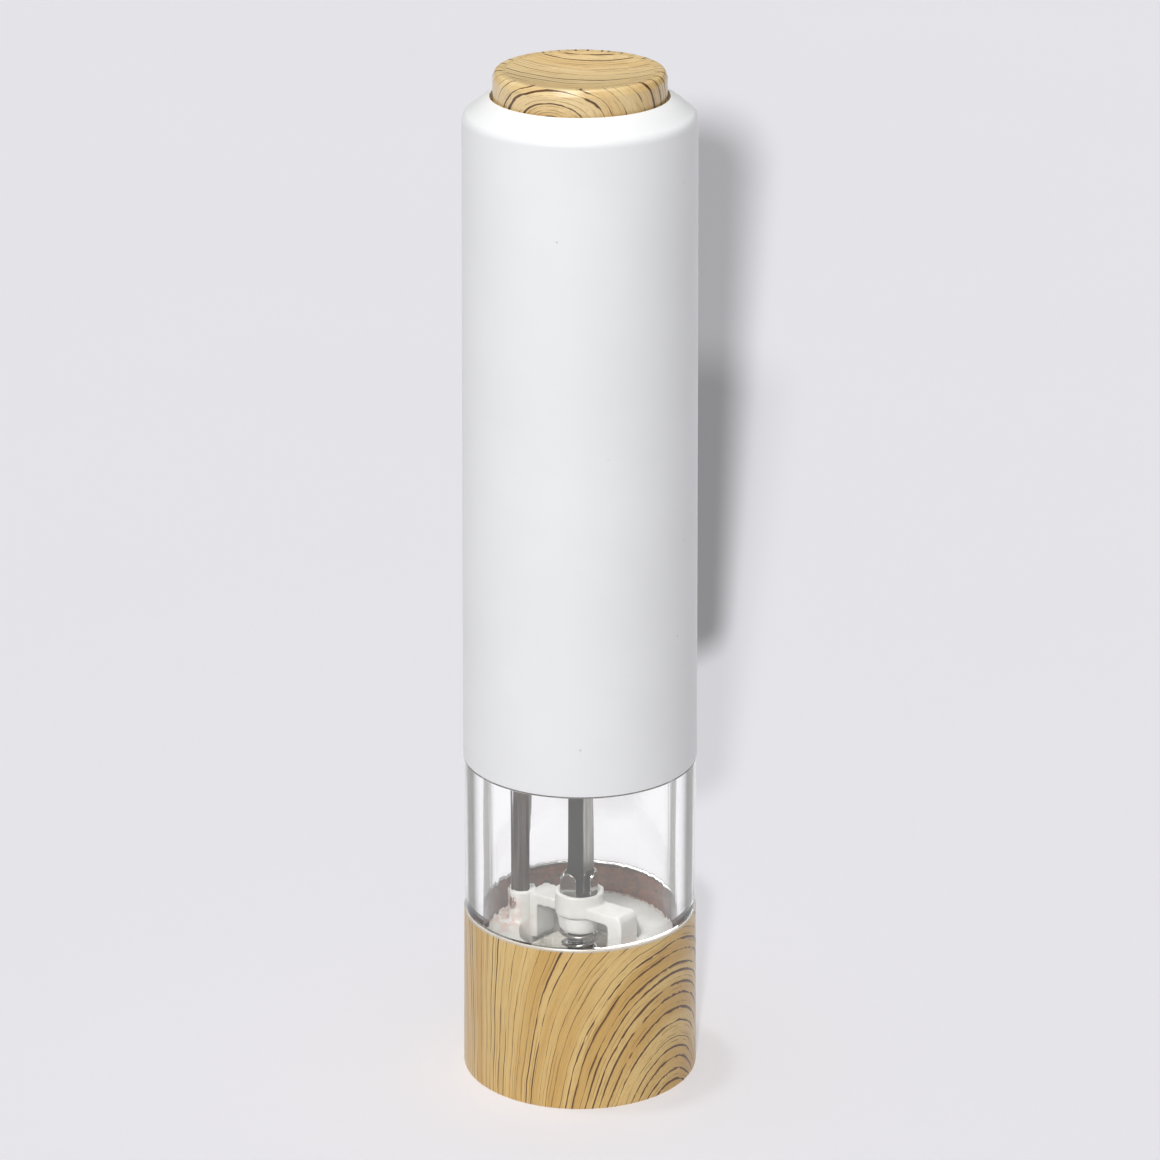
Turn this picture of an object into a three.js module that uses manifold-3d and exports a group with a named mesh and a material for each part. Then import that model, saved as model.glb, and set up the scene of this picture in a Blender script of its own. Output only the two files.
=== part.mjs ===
// One-button battery pepper mill, millimetres, +Z up, origin at the centre of the base.
import * as THREE from 'three';
import { mergeVertices } from 'three/addons/utils/BufferGeometryUtils.js';
import Module from 'manifold-3d';

const wasm = await Module();
wasm.setup();

// ---------------------------------------------------------------- driving dimensions

const GAP = 0.3;                    // clearance between neighbouring solids
const ROUND_LARGE = 36;             // facets round a large turned part
const ROUND_SMALL = 16;             // facets round a small turned part

const BASE_TOP = 37.8;              // top edge of the wood-pattern base ring
const BASE_R_BOTTOM = 25.75;
const BASE_R_TOP = 25.4;
const BASE_BORE = 23.5;

const CHAMBER_TOP = 73.2;           // shoulder of the clear chamber, just under the sleeve
const CHAMBER_R = 25.2;
const CHAMBER_BORE = 21.5;
const SPIGOT_R = 22.9;              // upper spigot, inside the sleeve
const SPIGOT_TOP = 80.0;

const FLOOR_TOP = 32.0;             // white floor of the chamber
const FUNNEL_R = 13.4;
const STATOR_R = 11.3;
const STATOR_TOP = 26.7;
const STATOR_BOTTOM = 9.0;
const BURR_BORE = 11.6;
const HOUSING_R = 14.2;             // outside of the tube that holds the burrs

const BRIDGE_ANGLE = -36.5;         // direction of the bridge's front leg, degrees
const BRIDGE_TOP = 38.8;
const RING_TOP = 41.4;
const RING_R = 5.35;

const SHAFT_SIDE = 4.2;             // square drive shaft
const SHAFT_ANGLE = -31;            // turn of the square at rest, degrees
const SHAFT_TOP = 82.0;
const SOCKET_SIDE = 4.5;            // square holes that take the shaft

const LAMP_X = -13.2;
const LAMP_Y = 6.0;
const LAMP_TUBE_R = 2.25;
const LAMP_TUBE_TOP = 74.0;

const SLEEVE_BOTTOM = 73.5;
const SLEEVE_R_BOTTOM = 25.35;
const SLEEVE_R_TOP = 24.4;
const SLEEVE_WALL = 2.0;
const SLEEVE_TOP = 219.7;
const SHOULDER_R = 5.2;             // radius inside the shoulder
const SHOULDER_LOW = 215.3;         // where the outside wall turns in
const SHOULDER_EDGE_R = 1.4;        // radius of that outer edge
const SHOULDER_SLOPE = [[21.4, 218.25], [19.3, 219.45]];
const BUTTON_HOLE_R = 18.58;

const BUTTON_R = 18.0;
const BUTTON_TOP = 225.0;
const STEM_R = 3.2;
const STEM_BOTTOM = 205.5;
const GUIDE_Z = 208.0;              // underside of the button guide

const PLUG_BOTTOM = 75.2;           // underside of the motor base
const LUG_ANGLE = 20;               // direction of the first bayonet lug, degrees
const TWIST = 30;                   // turn that frees the bayonet, degrees

const GEAR_MODULE = 0.65;
const SUN_TEETH = 9;
const PLANET_TEETH = 18;
const RING_TEETH = SUN_TEETH + 2 * PLANET_TEETH;
const PLANETS = 3;
const GEAR_Z = 84.4;
const GEAR_WIDTH = 8.0;
const ORBIT_R = GEAR_MODULE * (SUN_TEETH + PLANET_TEETH) / 2;

const MOTOR_Z = 95.7;
const MOTOR_LENGTH = 37.8;
const MOTOR_R = 13.85;
const HOUSING_TOP = 137.2;
const HOUSING_OUTER = 22.4;
const HOUSING_INNER = 20.6;

const CELL_R = 7.25;                // AA cell, 50.5 long with its button
const CELL_LENGTH = 50.5;
const CELL_OFFSET = 7.6;            // cell axes lie at plus and minus this in X and Y
const CARRIER_Z = 137.6;
const CARRIER_PLATE = 2.0;
const CARRIER_R = 20.6;
const BAY_BOTTOM = CARRIER_Z + CARRIER_PLATE;
const BAY_TOP = 195.1;
const SWITCH_Z = 197.5;

// ---------------------------------------------------------------- materials

const material = (color, roughness, metalness = 0) =>
  new THREE.MeshStandardMaterial({ color, roughness, metalness });

const WOOD = material(0xdebd80, 0.35);
const WHITE_GLOSS = material(0xeceef0, 0.3);
const WHITE_MATT = material(0xe4e5e4, 0.5);
const CERAMIC = material(0xf0f0ec, 0.35);
const CLEAR = new THREE.MeshStandardMaterial({
  color: 0xf4f6f2, roughness: 0.05, transparent: true, opacity: 0.3,
});
const STEEL = material(0x9a9a96, 0.3, 1);
const BRASS = material(0xc0a060, 0.35, 1);
const NYLON = material(0xd8d4c4, 0.6);
const BLACK = material(0x26272a, 0.5);
const CELL_SKIN = material(0x4c6b57, 0.4);

// ---------------------------------------------------------------- geometry helpers

const radians = THREE.MathUtils.degToRad;

// Merges shared corners, drops the zero-area faces of a turned part's axis and points the faces out.
function weld(geometry) {
  const bare = geometry.clone();
  bare.deleteAttribute('normal');
  bare.deleteAttribute('uv');
  const merged = mergeVertices(bare, 1e-4);
  const position = merged.getAttribute('position');
  const corner = (i) => new THREE.Vector3().fromBufferAttribute(position, i);
  const faces = [];
  let volume = 0;
  for (let i = 0; i < merged.index.count; i += 3) {
    const [a, b, c] = [0, 1, 2].map((k) => merged.index.getX(i + k));
    if (a === b || b === c || c === a) continue;
    faces.push([a, b, c]);
    volume += corner(a).dot(corner(b).cross(corner(c)));
  }
  const outward = volume > 0 ? faces : faces.map(([a, b, c]) => [a, c, b]);
  merged.setIndex(outward.flat());
  return merged;
}

function toManifold(geometry) {
  const closed = weld(geometry);
  return new wasm.Manifold(new wasm.Mesh({
    numProp: 3,
    vertProperties: new Float32Array(closed.getAttribute('position').array),
    triVerts: new Uint32Array(closed.index.array),
  }));
}

function fromManifold(solid) {
  const mesh = solid.getMesh();
  const geometry = new THREE.BufferGeometry();
  geometry.setAttribute('position', new THREE.BufferAttribute(mesh.vertProperties, 3));
  geometry.setIndex(Array.from(mesh.triVerts));
  return geometry;
}

const join = (...pieces) =>
  fromManifold(pieces.map(toManifold).reduce((whole, piece) => whole.add(piece)));

const cut = (base, ...tools) =>
  fromManifold(tools.map(toManifold).reduce((rest, tool) => rest.subtract(tool), toManifold(base)));

// A profile of [radius, height] pairs turned about Z. It closes on itself unless it ends on the axis.
function turned(profile, facets = ROUND_SMALL) {
  const points = profile.map(([r, z]) => new THREE.Vector2(r, z));
  const onAxis = profile[0][0] === 0 && profile[profile.length - 1][0] === 0;
  if (!onAxis) points.push(points[0].clone());
  return new THREE.LatheGeometry(points, facets).rotateX(Math.PI / 2);
}

const tube = (inner, outer, bottom, top, facets = ROUND_SMALL) =>
  turned([[inner, bottom], [outer, bottom], [outer, top], [inner, top]], facets);

const rod = (radius, bottom, top, facets = ROUND_SMALL) =>
  turned([[0, bottom], [radius, bottom], [radius, top], [0, top]], facets);

// Points of an arc in a profile, from one angle to another in degrees.
function arc(r, z, radius, from, to, steps) {
  return Array.from({ length: steps + 1 }, (_, i) => {
    const angle = radians(from + (to - from) * i / steps);
    return [r + radius * Math.cos(angle), z + radius * Math.sin(angle)];
  });
}

const box = (x, y, z, bottom) => new THREE.BoxGeometry(x, y, z).translate(0, 0, bottom + z / 2);

function extruded(points, height, bottom, holes = []) {
  const shape = new THREE.Shape(points.map(([x, y]) => new THREE.Vector2(x, y)));
  shape.holes = holes.map((hole) => new THREE.Path(hole.map(([x, y]) => new THREE.Vector2(x, y))));
  return new THREE.ExtrudeGeometry(shape, { depth: height, bevelEnabled: false }).translate(0, 0, bottom);
}

// A block of a ring between two radii and two angles in degrees.
function sector(inner, outer, from, to, bottom, top) {
  const steps = Math.max(2, Math.ceil((to - from) / 7.5));
  const outside = arc(0, 0, outer, from, to, steps);
  const inside = arc(0, 0, inner, to, from, steps);
  return extruded([...outside, ...inside], top - bottom, bottom);
}

// A round wire wound about Z: radiusAt and heightAt give the helix at a fraction of its length.
function coil(turns, wire, radiusAt, heightAt) {
  const steps = Math.round(turns * 8);
  const points = Array.from({ length: steps + 1 }, (_, i) => {
    const share = i / steps;
    const angle = share * turns * 2 * Math.PI;
    const r = radiusAt(share);
    return new THREE.Vector3(r * Math.cos(angle), r * Math.sin(angle), heightAt(share));
  });
  const section = new THREE.Shape(arc(0, 0, wire, 0, 288, 4).map(([x, y]) => new THREE.Vector2(x, y)));
  return new THREE.ExtrudeGeometry(section, {
    steps, extrudePath: new THREE.CatmullRomCurve3(points), bevelEnabled: false,
  });
}

const turnedBy = (geometry, degrees) => geometry.rotateZ(radians(degrees));
const movedTo = (geometry, x, y, z = 0) => geometry.translate(x, y, z);

function part(name, geometry, surface) {
  const closed = weld(geometry);
  closed.computeVertexNormals();
  const mesh = new THREE.Mesh(closed, surface.clone());
  mesh.name = name;
  return mesh;
}

function assembly(...children) {
  const group = new THREE.Group();
  group.add(...children.flat());
  return group;
}

// ---------------------------------------------------------------- lower half: base, chamber, burrs

function baseRing() {
  const profile = [
    [BASE_BORE, 0], [BASE_R_BOTTOM, 0], [BASE_R_TOP, BASE_TOP], [BASE_BORE, BASE_TOP],
    [BASE_BORE, 2.7], [22.2, 2.7], [22.2, 0.9], [BASE_BORE, 0.9],
  ];
  return part('base_ring', turned(profile, ROUND_LARGE), WOOD);
}

// The upper spigot has two L-shaped slots: an entry from above and a run that holds the lug.
function clearChamber() {
  const profile = [
    [CHAMBER_BORE, 30.2], [23.2, 30.2], [23.2, BASE_TOP + 0.1], [CHAMBER_R, BASE_TOP + 0.1],
    [CHAMBER_R, CHAMBER_TOP], [SPIGOT_R, CHAMBER_TOP], [SPIGOT_R, SPIGOT_TOP], [CHAMBER_BORE, SPIGOT_TOP],
  ];
  const halfSlot = 9.5;
  const slots = [LUG_ANGLE, LUG_ANGLE + 180].flatMap((angle) => [
    sector(20, 24, angle - halfSlot, angle + TWIST + halfSlot, 76.0, 78.4),
    sector(20, 24, angle + TWIST - halfSlot, angle + TWIST + halfSlot, 77.0, 81.0),
  ]);
  return part('clear_chamber', cut(turned(profile, ROUND_LARGE), ...slots), CLEAR);
}

// Side view of the bridge: two legs and the arm between them, rounded at the outer corners.
function bridgeArch() {
  const foot = 28.3;
  const outer = 13.1;
  const inner = 9.5;
  const under = 36.4;
  const side = (sign) => [
    [inner * sign, foot], [outer * sign, foot],
    ...arc(outer - 1.8, BRIDGE_TOP - 1.8, 1.8, 0, 90, 4).map(([x, z]) => [x * sign, z]),
  ];
  const underside = (sign) => [[inner * sign, under - 1.2], [(inner - 1.2) * sign, under]];
  const outline = [
    ...side(1), ...side(-1).reverse(), ...underside(-1), ...underside(1).reverse(),
  ];
  const width = 6.4;
  const arch = extruded(outline, width, -width / 2).rotateX(Math.PI / 2);
  return turnedBy(arch, BRIDGE_ANGLE);
}

function chamberFloor() {
  const profile = [
    [BURR_BORE, 27.0], [FUNNEL_R, FLOOR_TOP], [21.2, FLOOR_TOP], [21.2, 29.9], [23.2, 29.9],
    [23.2, 27.9], [HOUSING_R, 27.9], [HOUSING_R, 5.2], [12.7, 5.2], [12.7, 8.8], [BURR_BORE, 8.8],
  ];
  const lampSocket = movedTo(rod(3.2, 10, 39.3), LAMP_X, LAMP_Y);
  const lampBore = movedTo(rod(LAMP_TUBE_R + 0.15, 4, 41), LAMP_X, LAMP_Y);
  const bosses = coverScrewPlaces().map(([x, y]) => movedTo(rod(3.0, 5.2, 28.5, 12), x, y));
  const pilots = coverScrewPlaces().map(([x, y]) => movedTo(rod(1.6, 4, 15, 12), x, y));
  const body = join(
    turned(profile, ROUND_LARGE), bridgeArch(), rod(RING_R, 36.4, RING_TOP), lampSocket, ...bosses,
  );
  const ringBore = rod(3.9, 35, 42);
  const ringRecess = rod(4.5, 39.9, 42);
  return part('chamber_floor', cut(body, ringBore, ringRecess, lampBore, ...pilots), WHITE_MATT);
}

function coverScrewPlaces() {
  return [60, 240].map((angle) => [18 * Math.cos(radians(angle)), 18 * Math.sin(radians(angle))]);
}

function bearingBush() {
  const profile = [
    [3.1, 32.2], [3.7, 32.2], [4.25, 32.6], [4.45, 33.4], [4.86, 36.1], [3.6, 36.1], [3.6, 39.4], [3.1, 39.4],
  ];
  return part('bearing_bush', turned(profile), WHITE_MATT);
}

// A turned part whose wall is cut into slanting ribs, deepest at the ribs' valleys.
function ribbed(geometry, ribs, depthAt, slant) {
  const position = geometry.getAttribute('position');
  for (let i = 0; i < position.count; i += 1) {
    const [x, y, z] = [position.getX(i), position.getY(i), position.getZ(i)];
    const radius = Math.hypot(x, y);
    const wave = 0.5 + 0.5 * Math.cos(ribs * (Math.atan2(y, x) + slant * z));
    const scale = radius > 0 ? 1 + depthAt(radius, z) * wave / radius : 1;
    position.setXYZ(i, x * scale, y * scale, z);
  }
  return geometry;
}

function statorBurr() {
  const profile = [
    [10.2, STATOR_BOTTOM], [STATOR_R, STATOR_BOTTOM], [STATOR_R, STATOR_TOP], [10.2, STATOR_TOP],
    [9.6, 24.0], [9.2, 20.0], [9.3, 16.0], [10.0, 12.0],
  ];
  const inside = (radius) => (radius < 10.15 ? 0.6 : 0);
  const geometry = ribbed(turned(profile, ROUND_LARGE), 16, inside, 0.02);
  return part('stator_burr', geometry, CERAMIC);
}

function undersideCover() {
  const profile = [
    [11.0, 3.0], [22.9, 3.0], [22.9, 4.9], [12.3, 4.9], [12.3, 8.5], [11.0, 8.5],
  ];
  const lensHole = movedTo(rod(2.3, 2, 6), LAMP_X, LAMP_Y);
  const screwHoles = coverScrewPlaces().map(([x, y]) => movedTo(rod(1.6, 2, 6, 12), x, y));
  const cover = cut(turned(profile, ROUND_LARGE), lensHole, ...screwHoles);
  return part('underside_cover', cover, WHITE_MATT);
}

function coverScrews() {
  const profile = [[0, 1.5], [2.4, 1.5], [2.4, 2.7], [1.3, 2.7], [1.3, 14], [0, 14]];
  return coverScrewPlaces().map(([x, y], i) =>
    part(`cover_screw_${i + 1}`, movedTo(turned(profile, 12), x, y), STEEL));
}

function lampParts() {
  const bulb = [[0, 5.4], ...arc(0, 7.0, 1.6, -60, 0, 3), [1.6, 9.4], [0, 9.4]];
  const lens = [[0, 3.1], [2.0, 3.3], [2.0, 4.7], [0, 4.7]];
  const wall = tube(LAMP_TUBE_R - 0.5, LAMP_TUBE_R, 10.0, LAMP_TUBE_TOP);
  return [
    part('lamp_tube', movedTo(wall, LAMP_X, LAMP_Y), STEEL),
    part('lamp_bulb', movedTo(turned(bulb, 12), LAMP_X, LAMP_Y), CLEAR),
    part('lamp_lens', movedTo(turned(lens, 12), LAMP_X, LAMP_Y), CLEAR),
  ];
}

const millBase = () => assembly(
  baseRing(), clearChamber(), chamberFloor(), bearingBush(), statorBurr(), undersideCover(),
  coverScrews(), lampParts(),
);

// ---------------------------------------------------------------- shaft and rotor

function driveShaft() {
  const square = box(SHAFT_SIDE, SHAFT_SIDE, SHAFT_TOP - 9.3, 9.3);
  const shaft = join(turnedBy(square, SHAFT_ANGLE), rod(1.8, 3.0, 9.5, 12));
  return part('drive_shaft', shaft, STEEL);
}

function shaftWasher() {
  return part('shaft_washer', tube(3.1, 4.2, 40.1, 40.5), STEEL);
}

// A push-on clip: a washer with four round-ended petals bent up along the faces of the shaft.
function shaftClip() {
  const tip = arc(0, 3.4, 1.75, 0, 180, 8);
  const petalOutline = [[-1.75, 0], [1.75, 0], ...tip];
  const petals = [0, 1, 2, 3].map((i) => {
    const aside = i % 2 === 0 ? 1.1 : -1.1;
    const petal = extruded(petalOutline, 0.45, -0.225).rotateX(Math.PI / 2).translate(-aside, -2.7, 40.9);
    return turnedBy(petal, SHAFT_ANGLE + 90 * i);
  });
  const hole = turnedBy(box(SOCKET_SIDE, SOCKET_SIDE, 8, 39), SHAFT_ANGLE);
  return part('shaft_clip', cut(join(rod(4.2, 40.7, 41.1), ...petals), hole), STEEL);
}

function planetCarrier() {
  const profile = [
    [0, PLUG_BOTTOM + 0.2], [4.4, PLUG_BOTTOM + 0.2], [4.4, 81.6], [13.2, 81.6], [13.2, 84.0], [0, 84.0],
  ];
  const pins = planetAngles().map((angle) =>
    turnedBy(movedTo(rod(1.5, 83, GEAR_Z + GEAR_WIDTH + 0.4, 12), ORBIT_R, 0), angle));
  const socket = turnedBy(box(SOCKET_SIDE, SOCKET_SIDE, 7.6, 74.8), SHAFT_ANGLE);
  return part('planet_carrier', cut(join(turned(profile), ...pins), socket), NYLON);
}

const shaftGroup = () => assembly(driveShaft(), shaftWasher(), shaftClip(), planetCarrier());

function rotorBurr() {
  const profile = [
    [0, 9.0], [9.7, 9.0], [9.5, 10.2], [7.9, 14.5], [6.9, 19.0], [5.8, 24.2], [4.8, 24.2], [4.8, 22.6], [0, 22.6],
  ];
  const valley = (radius, z) => (radius > 5.5 && z < 24 && z > 9.5 ? -0.8 : 0);
  const burr = ribbed(turned(profile, ROUND_LARGE), 12, valley, 0.06);
  const bore = turnedBy(box(SOCKET_SIDE, SOCKET_SIDE, 20, 8), SHAFT_ANGLE);
  return part('rotor_burr', cut(burr, bore), CERAMIC);
}

function rotorSpring() {
  const flare = (share) => (share < 0.7 ? 3.7 : 3.7 + 0.5 * (share - 0.7) / 0.3);
  const height = (share) => 23.1 + 8.6 * share;
  return part('rotor_spring', coil(3.6, 0.37, flare, height), STEEL);
}

function adjusterKnob() {
  const profile = [
    [0, 1.2], [5.2, 1.2], [6.0, 2.0], [6.0, 6.0], [3.4, 6.0], [3.4, 8.6], [2.1, 8.6], [2.1, 2.4], [0, 2.4],
  ];
  const fluted = (radius, z) => (radius > 5.5 && z > 1.5 ? -0.35 : 0);
  return part('adjuster_knob', ribbed(turned(profile, 36), 18, fluted, 0), BLACK);
}

const rotorGroup = () => assembly(rotorBurr(), rotorSpring());

// ---------------------------------------------------------------- gears

const planetAngles = () => Array.from({ length: PLANETS }, (_, i) => i * 360 / PLANETS);

// Tooth outline as [radius, angle] steps; the tooth stands from its root to its tip radius.
function gearOutline(teeth, root, tip, phase) {
  const pitch = 2 * Math.PI / teeth;
  const steps = [[root, -0.26], [tip, -0.12], [tip, 0.12], [root, 0.26]];
  return Array.from({ length: teeth }, (_, i) => i).flatMap((i) => steps.map(([r, share]) => {
    const angle = phase + (i + share) * pitch;
    return [r * Math.cos(angle), r * Math.sin(angle)];
  }));
}

const pitchRadius = (teeth) => teeth * GEAR_MODULE / 2;
const outerGear = (teeth, phase) => gearOutline(
  teeth, pitchRadius(teeth) - 1.25 * GEAR_MODULE, pitchRadius(teeth) + 0.85 * GEAR_MODULE, phase,
);

// A planet's turn at rest, so that its tooth space faces a tooth of the sun, which starts at angle 0.
function planetPhase(orbit) {
  const sunPitch = 2 * Math.PI / SUN_TEETH;
  const planetPitch = 2 * Math.PI / PLANET_TEETH;
  return orbit + Math.PI - planetPitch * (0.5 - orbit / sunPitch);
}

// The ring gear's turn at rest, so that its teeth stand in the first planet's spaces.
function ringPhase() {
  const planetPitch = 2 * Math.PI / PLANET_TEETH;
  const ringPitch = 2 * Math.PI / RING_TEETH;
  return -ringPitch * (-planetPhase(0) / planetPitch - 0.5);
}

function planetGear(angle, index) {
  const hole = arc(0, 0, 1.62, 0, 330, 11);
  const gear = extruded(outerGear(PLANET_TEETH, planetPhase(radians(angle))), GEAR_WIDTH, GEAR_Z, [hole]);
  const [x, y] = [ORBIT_R * Math.cos(radians(angle)), ORBIT_R * Math.sin(radians(angle))];
  return part(`planet_gear_${index + 1}`, movedTo(gear, x, y), NYLON);
}

function motorPinion() {
  const hole = arc(0, 0, 1.3, 0, 315, 7);
  return part('motor_pinion', extruded(outerGear(SUN_TEETH, 0), GEAR_WIDTH, GEAR_Z, [hole]), BRASS);
}

function ringGear() {
  const root = pitchRadius(RING_TEETH) + 1.25 * GEAR_MODULE;
  const tip = pitchRadius(RING_TEETH) - 0.85 * GEAR_MODULE;
  const teeth = gearOutline(RING_TEETH, root, tip, ringPhase());
  const outside = arc(0, 0, 20.0, 0, 360 - 360 / ROUND_LARGE, ROUND_LARGE - 1);
  return part('ring_gear', extruded(outside, GEAR_WIDTH + 0.8, GEAR_Z - 0.1, [teeth]), NYLON);
}

const motorShaft = () => part('motor_shaft', rod(1.0, GEAR_Z, 110, 12), STEEL);

// ---------------------------------------------------------------- drive unit

// A cup that closes the chamber, with a bearing boss for the carrier and two bayonet lugs.
function motorBase() {
  const profile = [
    [4.8, PLUG_BOTTOM], [21.1, PLUG_BOTTOM], [21.1, SPIGOT_TOP + GAP], [HOUSING_OUTER, SPIGOT_TOP + GAP],
    [HOUSING_OUTER, 84.0], [20.4, 84.0], [20.4, 78.0], [7.2, 78.0], [7.2, 81.2], [4.8, 81.2],
  ];
  const lugs = [LUG_ANGLE, LUG_ANGLE + 180].map((angle) =>
    sector(20.6, 22.5, angle - 7.5, angle + 7.5, 76.4, 78.0));
  return part('motor_base', join(turned(profile, ROUND_LARGE), ...lugs), WHITE_MATT);
}

const lampContact = () => part('lamp_contact_ring', tube(12.8, 16.2, 74.3, 74.9, ROUND_LARGE), BRASS);

// Shell round the gears and the motor, with two windows and a closed top.
function motorHousing() {
  const bottom = 84.3;
  const profile = [
    [HOUSING_INNER, bottom], [HOUSING_OUTER, bottom], [HOUSING_OUTER, HOUSING_TOP], [3, HOUSING_TOP],
    [3, HOUSING_TOP - 2], [HOUSING_INNER, HOUSING_TOP - 2],
  ];
  const windows = [60, 240].map((angle) => sector(18, 24, angle - 25, angle + 25, 104, 124));
  return part('motor_housing', cut(turned(profile, ROUND_LARGE), ...windows), WHITE_MATT);
}

const gearboxCover = () => part('gearbox_cover', tube(3.6, 20.2, 93.5, 95.3, ROUND_LARGE), NYLON);

function motorCan() {
  const top = MOTOR_Z + MOTOR_LENGTH;
  const profile = [
    [1.3, 93.9], [3.2, 93.9], [3.2, MOTOR_Z], [MOTOR_R, MOTOR_Z], [MOTOR_R, top - 1.5], [12.6, top - 1.5],
    [12.6, top - 0.5], [4.0, top - 0.5], [4.0, top + 0.6], [0, top + 0.6],
  ];
  const closed = [[0, 112], [1.3, 112], ...profile];
  return part('motor_can', turned(closed, ROUND_SMALL), STEEL);
}

function motorTerminals() {
  return [-1, 1].map((side, i) =>
    part(`motor_terminal_${i + 1}`, movedTo(box(0.6, 2.6, 1.5, 133.3), side * 8, 0), BRASS));
}

// Two plates on a middle post and four ribs. The cells stand between them.
function batteryCarrier() {
  const plates = [CARRIER_Z, BAY_TOP].map((z) => tube(1.2, CARRIER_R, z, z + CARRIER_PLATE, ROUND_LARGE));
  const post = rod(2.9, CARRIER_Z + 0.5, BAY_TOP + 1, 12);
  const ribs = [0, 90, 180, 270].map((angle) =>
    turnedBy(movedTo(box(3.6, 6, BAY_TOP - CARRIER_Z, CARRIER_Z + 1), 18.5, 0), angle));
  return part('battery_carrier', join(...plates, post, ...ribs), BLACK);
}

// Cell places round the carrier. Every second cell stands on its button.
const cellPlaces = () => [[1, 1], [-1, 1], [-1, -1], [1, -1]].map(([x, y], i) => (
  { x: x * CELL_OFFSET, y: y * CELL_OFFSET, upright: i % 2 === 0 }
));

const SPRING_ROOM = 4.3;            // space for a contact plate and its spring

function batteryCell({ x, y, upright }, index) {
  const body = CELL_LENGTH - 1;
  const profile = [
    [0, 0], [CELL_R - 0.4, 0], [CELL_R, 0.5], [CELL_R, body - 0.4], [CELL_R - 0.5, body],
    [2.75, body], [2.75, CELL_LENGTH], [0, CELL_LENGTH],
  ];
  const cell = turned(profile);
  if (!upright) cell.rotateX(Math.PI);
  const z = upright ? BAY_BOTTOM + SPRING_ROOM : BAY_TOP - SPRING_ROOM;
  return part(`battery_cell_${index + 1}`, movedTo(cell, x, y, z), CELL_SKIN);
}

function contactSpring({ x, y, upright }, index) {
  const bottom = upright ? BAY_BOTTOM + 1.1 : BAY_TOP - SPRING_ROOM + 0.7;
  const wide = (share) => 2.2 + 2.4 * (upright ? 1 - share : share);
  const wire = coil(2.2, 0.35, wide, (share) => bottom + 2.4 * share);
  return part(`contact_spring_${index + 1}`, movedTo(wire, x, y), STEEL);
}

function contactPlates() {
  const low = BAY_BOTTOM + 0.1;
  const high = BAY_TOP - 0.5;
  const bridge = 2 * CELL_OFFSET + 9;
  const places = [
    ['contact_bottom_front', bridge, 9, 0, -CELL_OFFSET, low],
    ['contact_bottom_back', bridge, 9, 0, CELL_OFFSET, low],
    ['contact_top_bridge', 9, bridge, -CELL_OFFSET, 0, high],
    ['contact_top_positive', 9, 9, CELL_OFFSET, CELL_OFFSET, high],
    ['contact_top_negative', 9, 9, CELL_OFFSET, -CELL_OFFSET, high],
  ];
  return places.map(([name, width, depth, x, y, z]) =>
    part(name, movedTo(box(width, depth, 0.4, z), x, y), BRASS));
}

function switchParts() {
  const plate = turned([
    [0, SWITCH_Z], [20.4, SWITCH_Z], [20.4, SWITCH_Z + 1.6], [0, SWITCH_Z + 1.6],
  ], ROUND_LARGE);
  const anvil = movedTo(rod(3, SWITCH_Z + 1, SWITCH_Z + 3.6, 12), -11, 0);
  const leaf = [
    [-13.5, 0], [-8, 0], [-6, 0.6], [6, 0.6], [6, 1.0], [-6.4, 1.0], [-8.2, 0.4], [-13.5, 0.4],
  ];
  const strip = extruded(leaf, 5, -2.5).rotateX(Math.PI / 2).translate(0, 0, SWITCH_Z + 3.9);
  return [
    part('switch_plate', join(plate, anvil), WHITE_MATT),
    part('switch_leaf', strip, BRASS),
    part('switch_contact', rod(1.6, SWITCH_Z + 1.9, SWITCH_Z + 3.4, 12), BRASS),
  ];
}

const driveUnit = () => assembly(
  motorBase(), lampContact(), motorHousing(), ringGear(), gearboxCover(), motorCan(), motorTerminals(),
  batteryCarrier(), cellPlaces().map(batteryCell), cellPlaces().map(contactSpring), contactPlates(),
  switchParts(),
);

// ---------------------------------------------------------------- sleeve and button

function sleeve() {
  const centreR = SLEEVE_R_TOP - SHOULDER_R;
  const centreZ = SLEEVE_TOP - SHOULDER_R;
  const profile = [
    [SLEEVE_R_BOTTOM - SLEEVE_WALL, SLEEVE_BOTTOM], [SLEEVE_R_BOTTOM, SLEEVE_BOTTOM],
    ...arc(SLEEVE_R_TOP - SHOULDER_EDGE_R, SHOULDER_LOW, SHOULDER_EDGE_R, 0, 53, 3),
    ...SHOULDER_SLOPE, [BUTTON_HOLE_R, SLEEVE_TOP], [BUTTON_HOLE_R, SLEEVE_TOP - SLEEVE_WALL],
    ...arc(centreR, centreZ, SHOULDER_R - SLEEVE_WALL, 90, 0, 3),
  ];
  return part('sleeve', turned(profile, ROUND_LARGE), WHITE_GLOSS);
}

function buttonGuide() {
  const profile = [
    [3.6, GUIDE_Z - 1.2], [5.4, GUIDE_Z - 1.2], [5.4, GUIDE_Z], [21.9, GUIDE_Z], [21.9, GUIDE_Z + 2],
    [3.6, GUIDE_Z + 2],
  ];
  return part('button_guide', turned(profile, ROUND_LARGE), WHITE_MATT);
}

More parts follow.
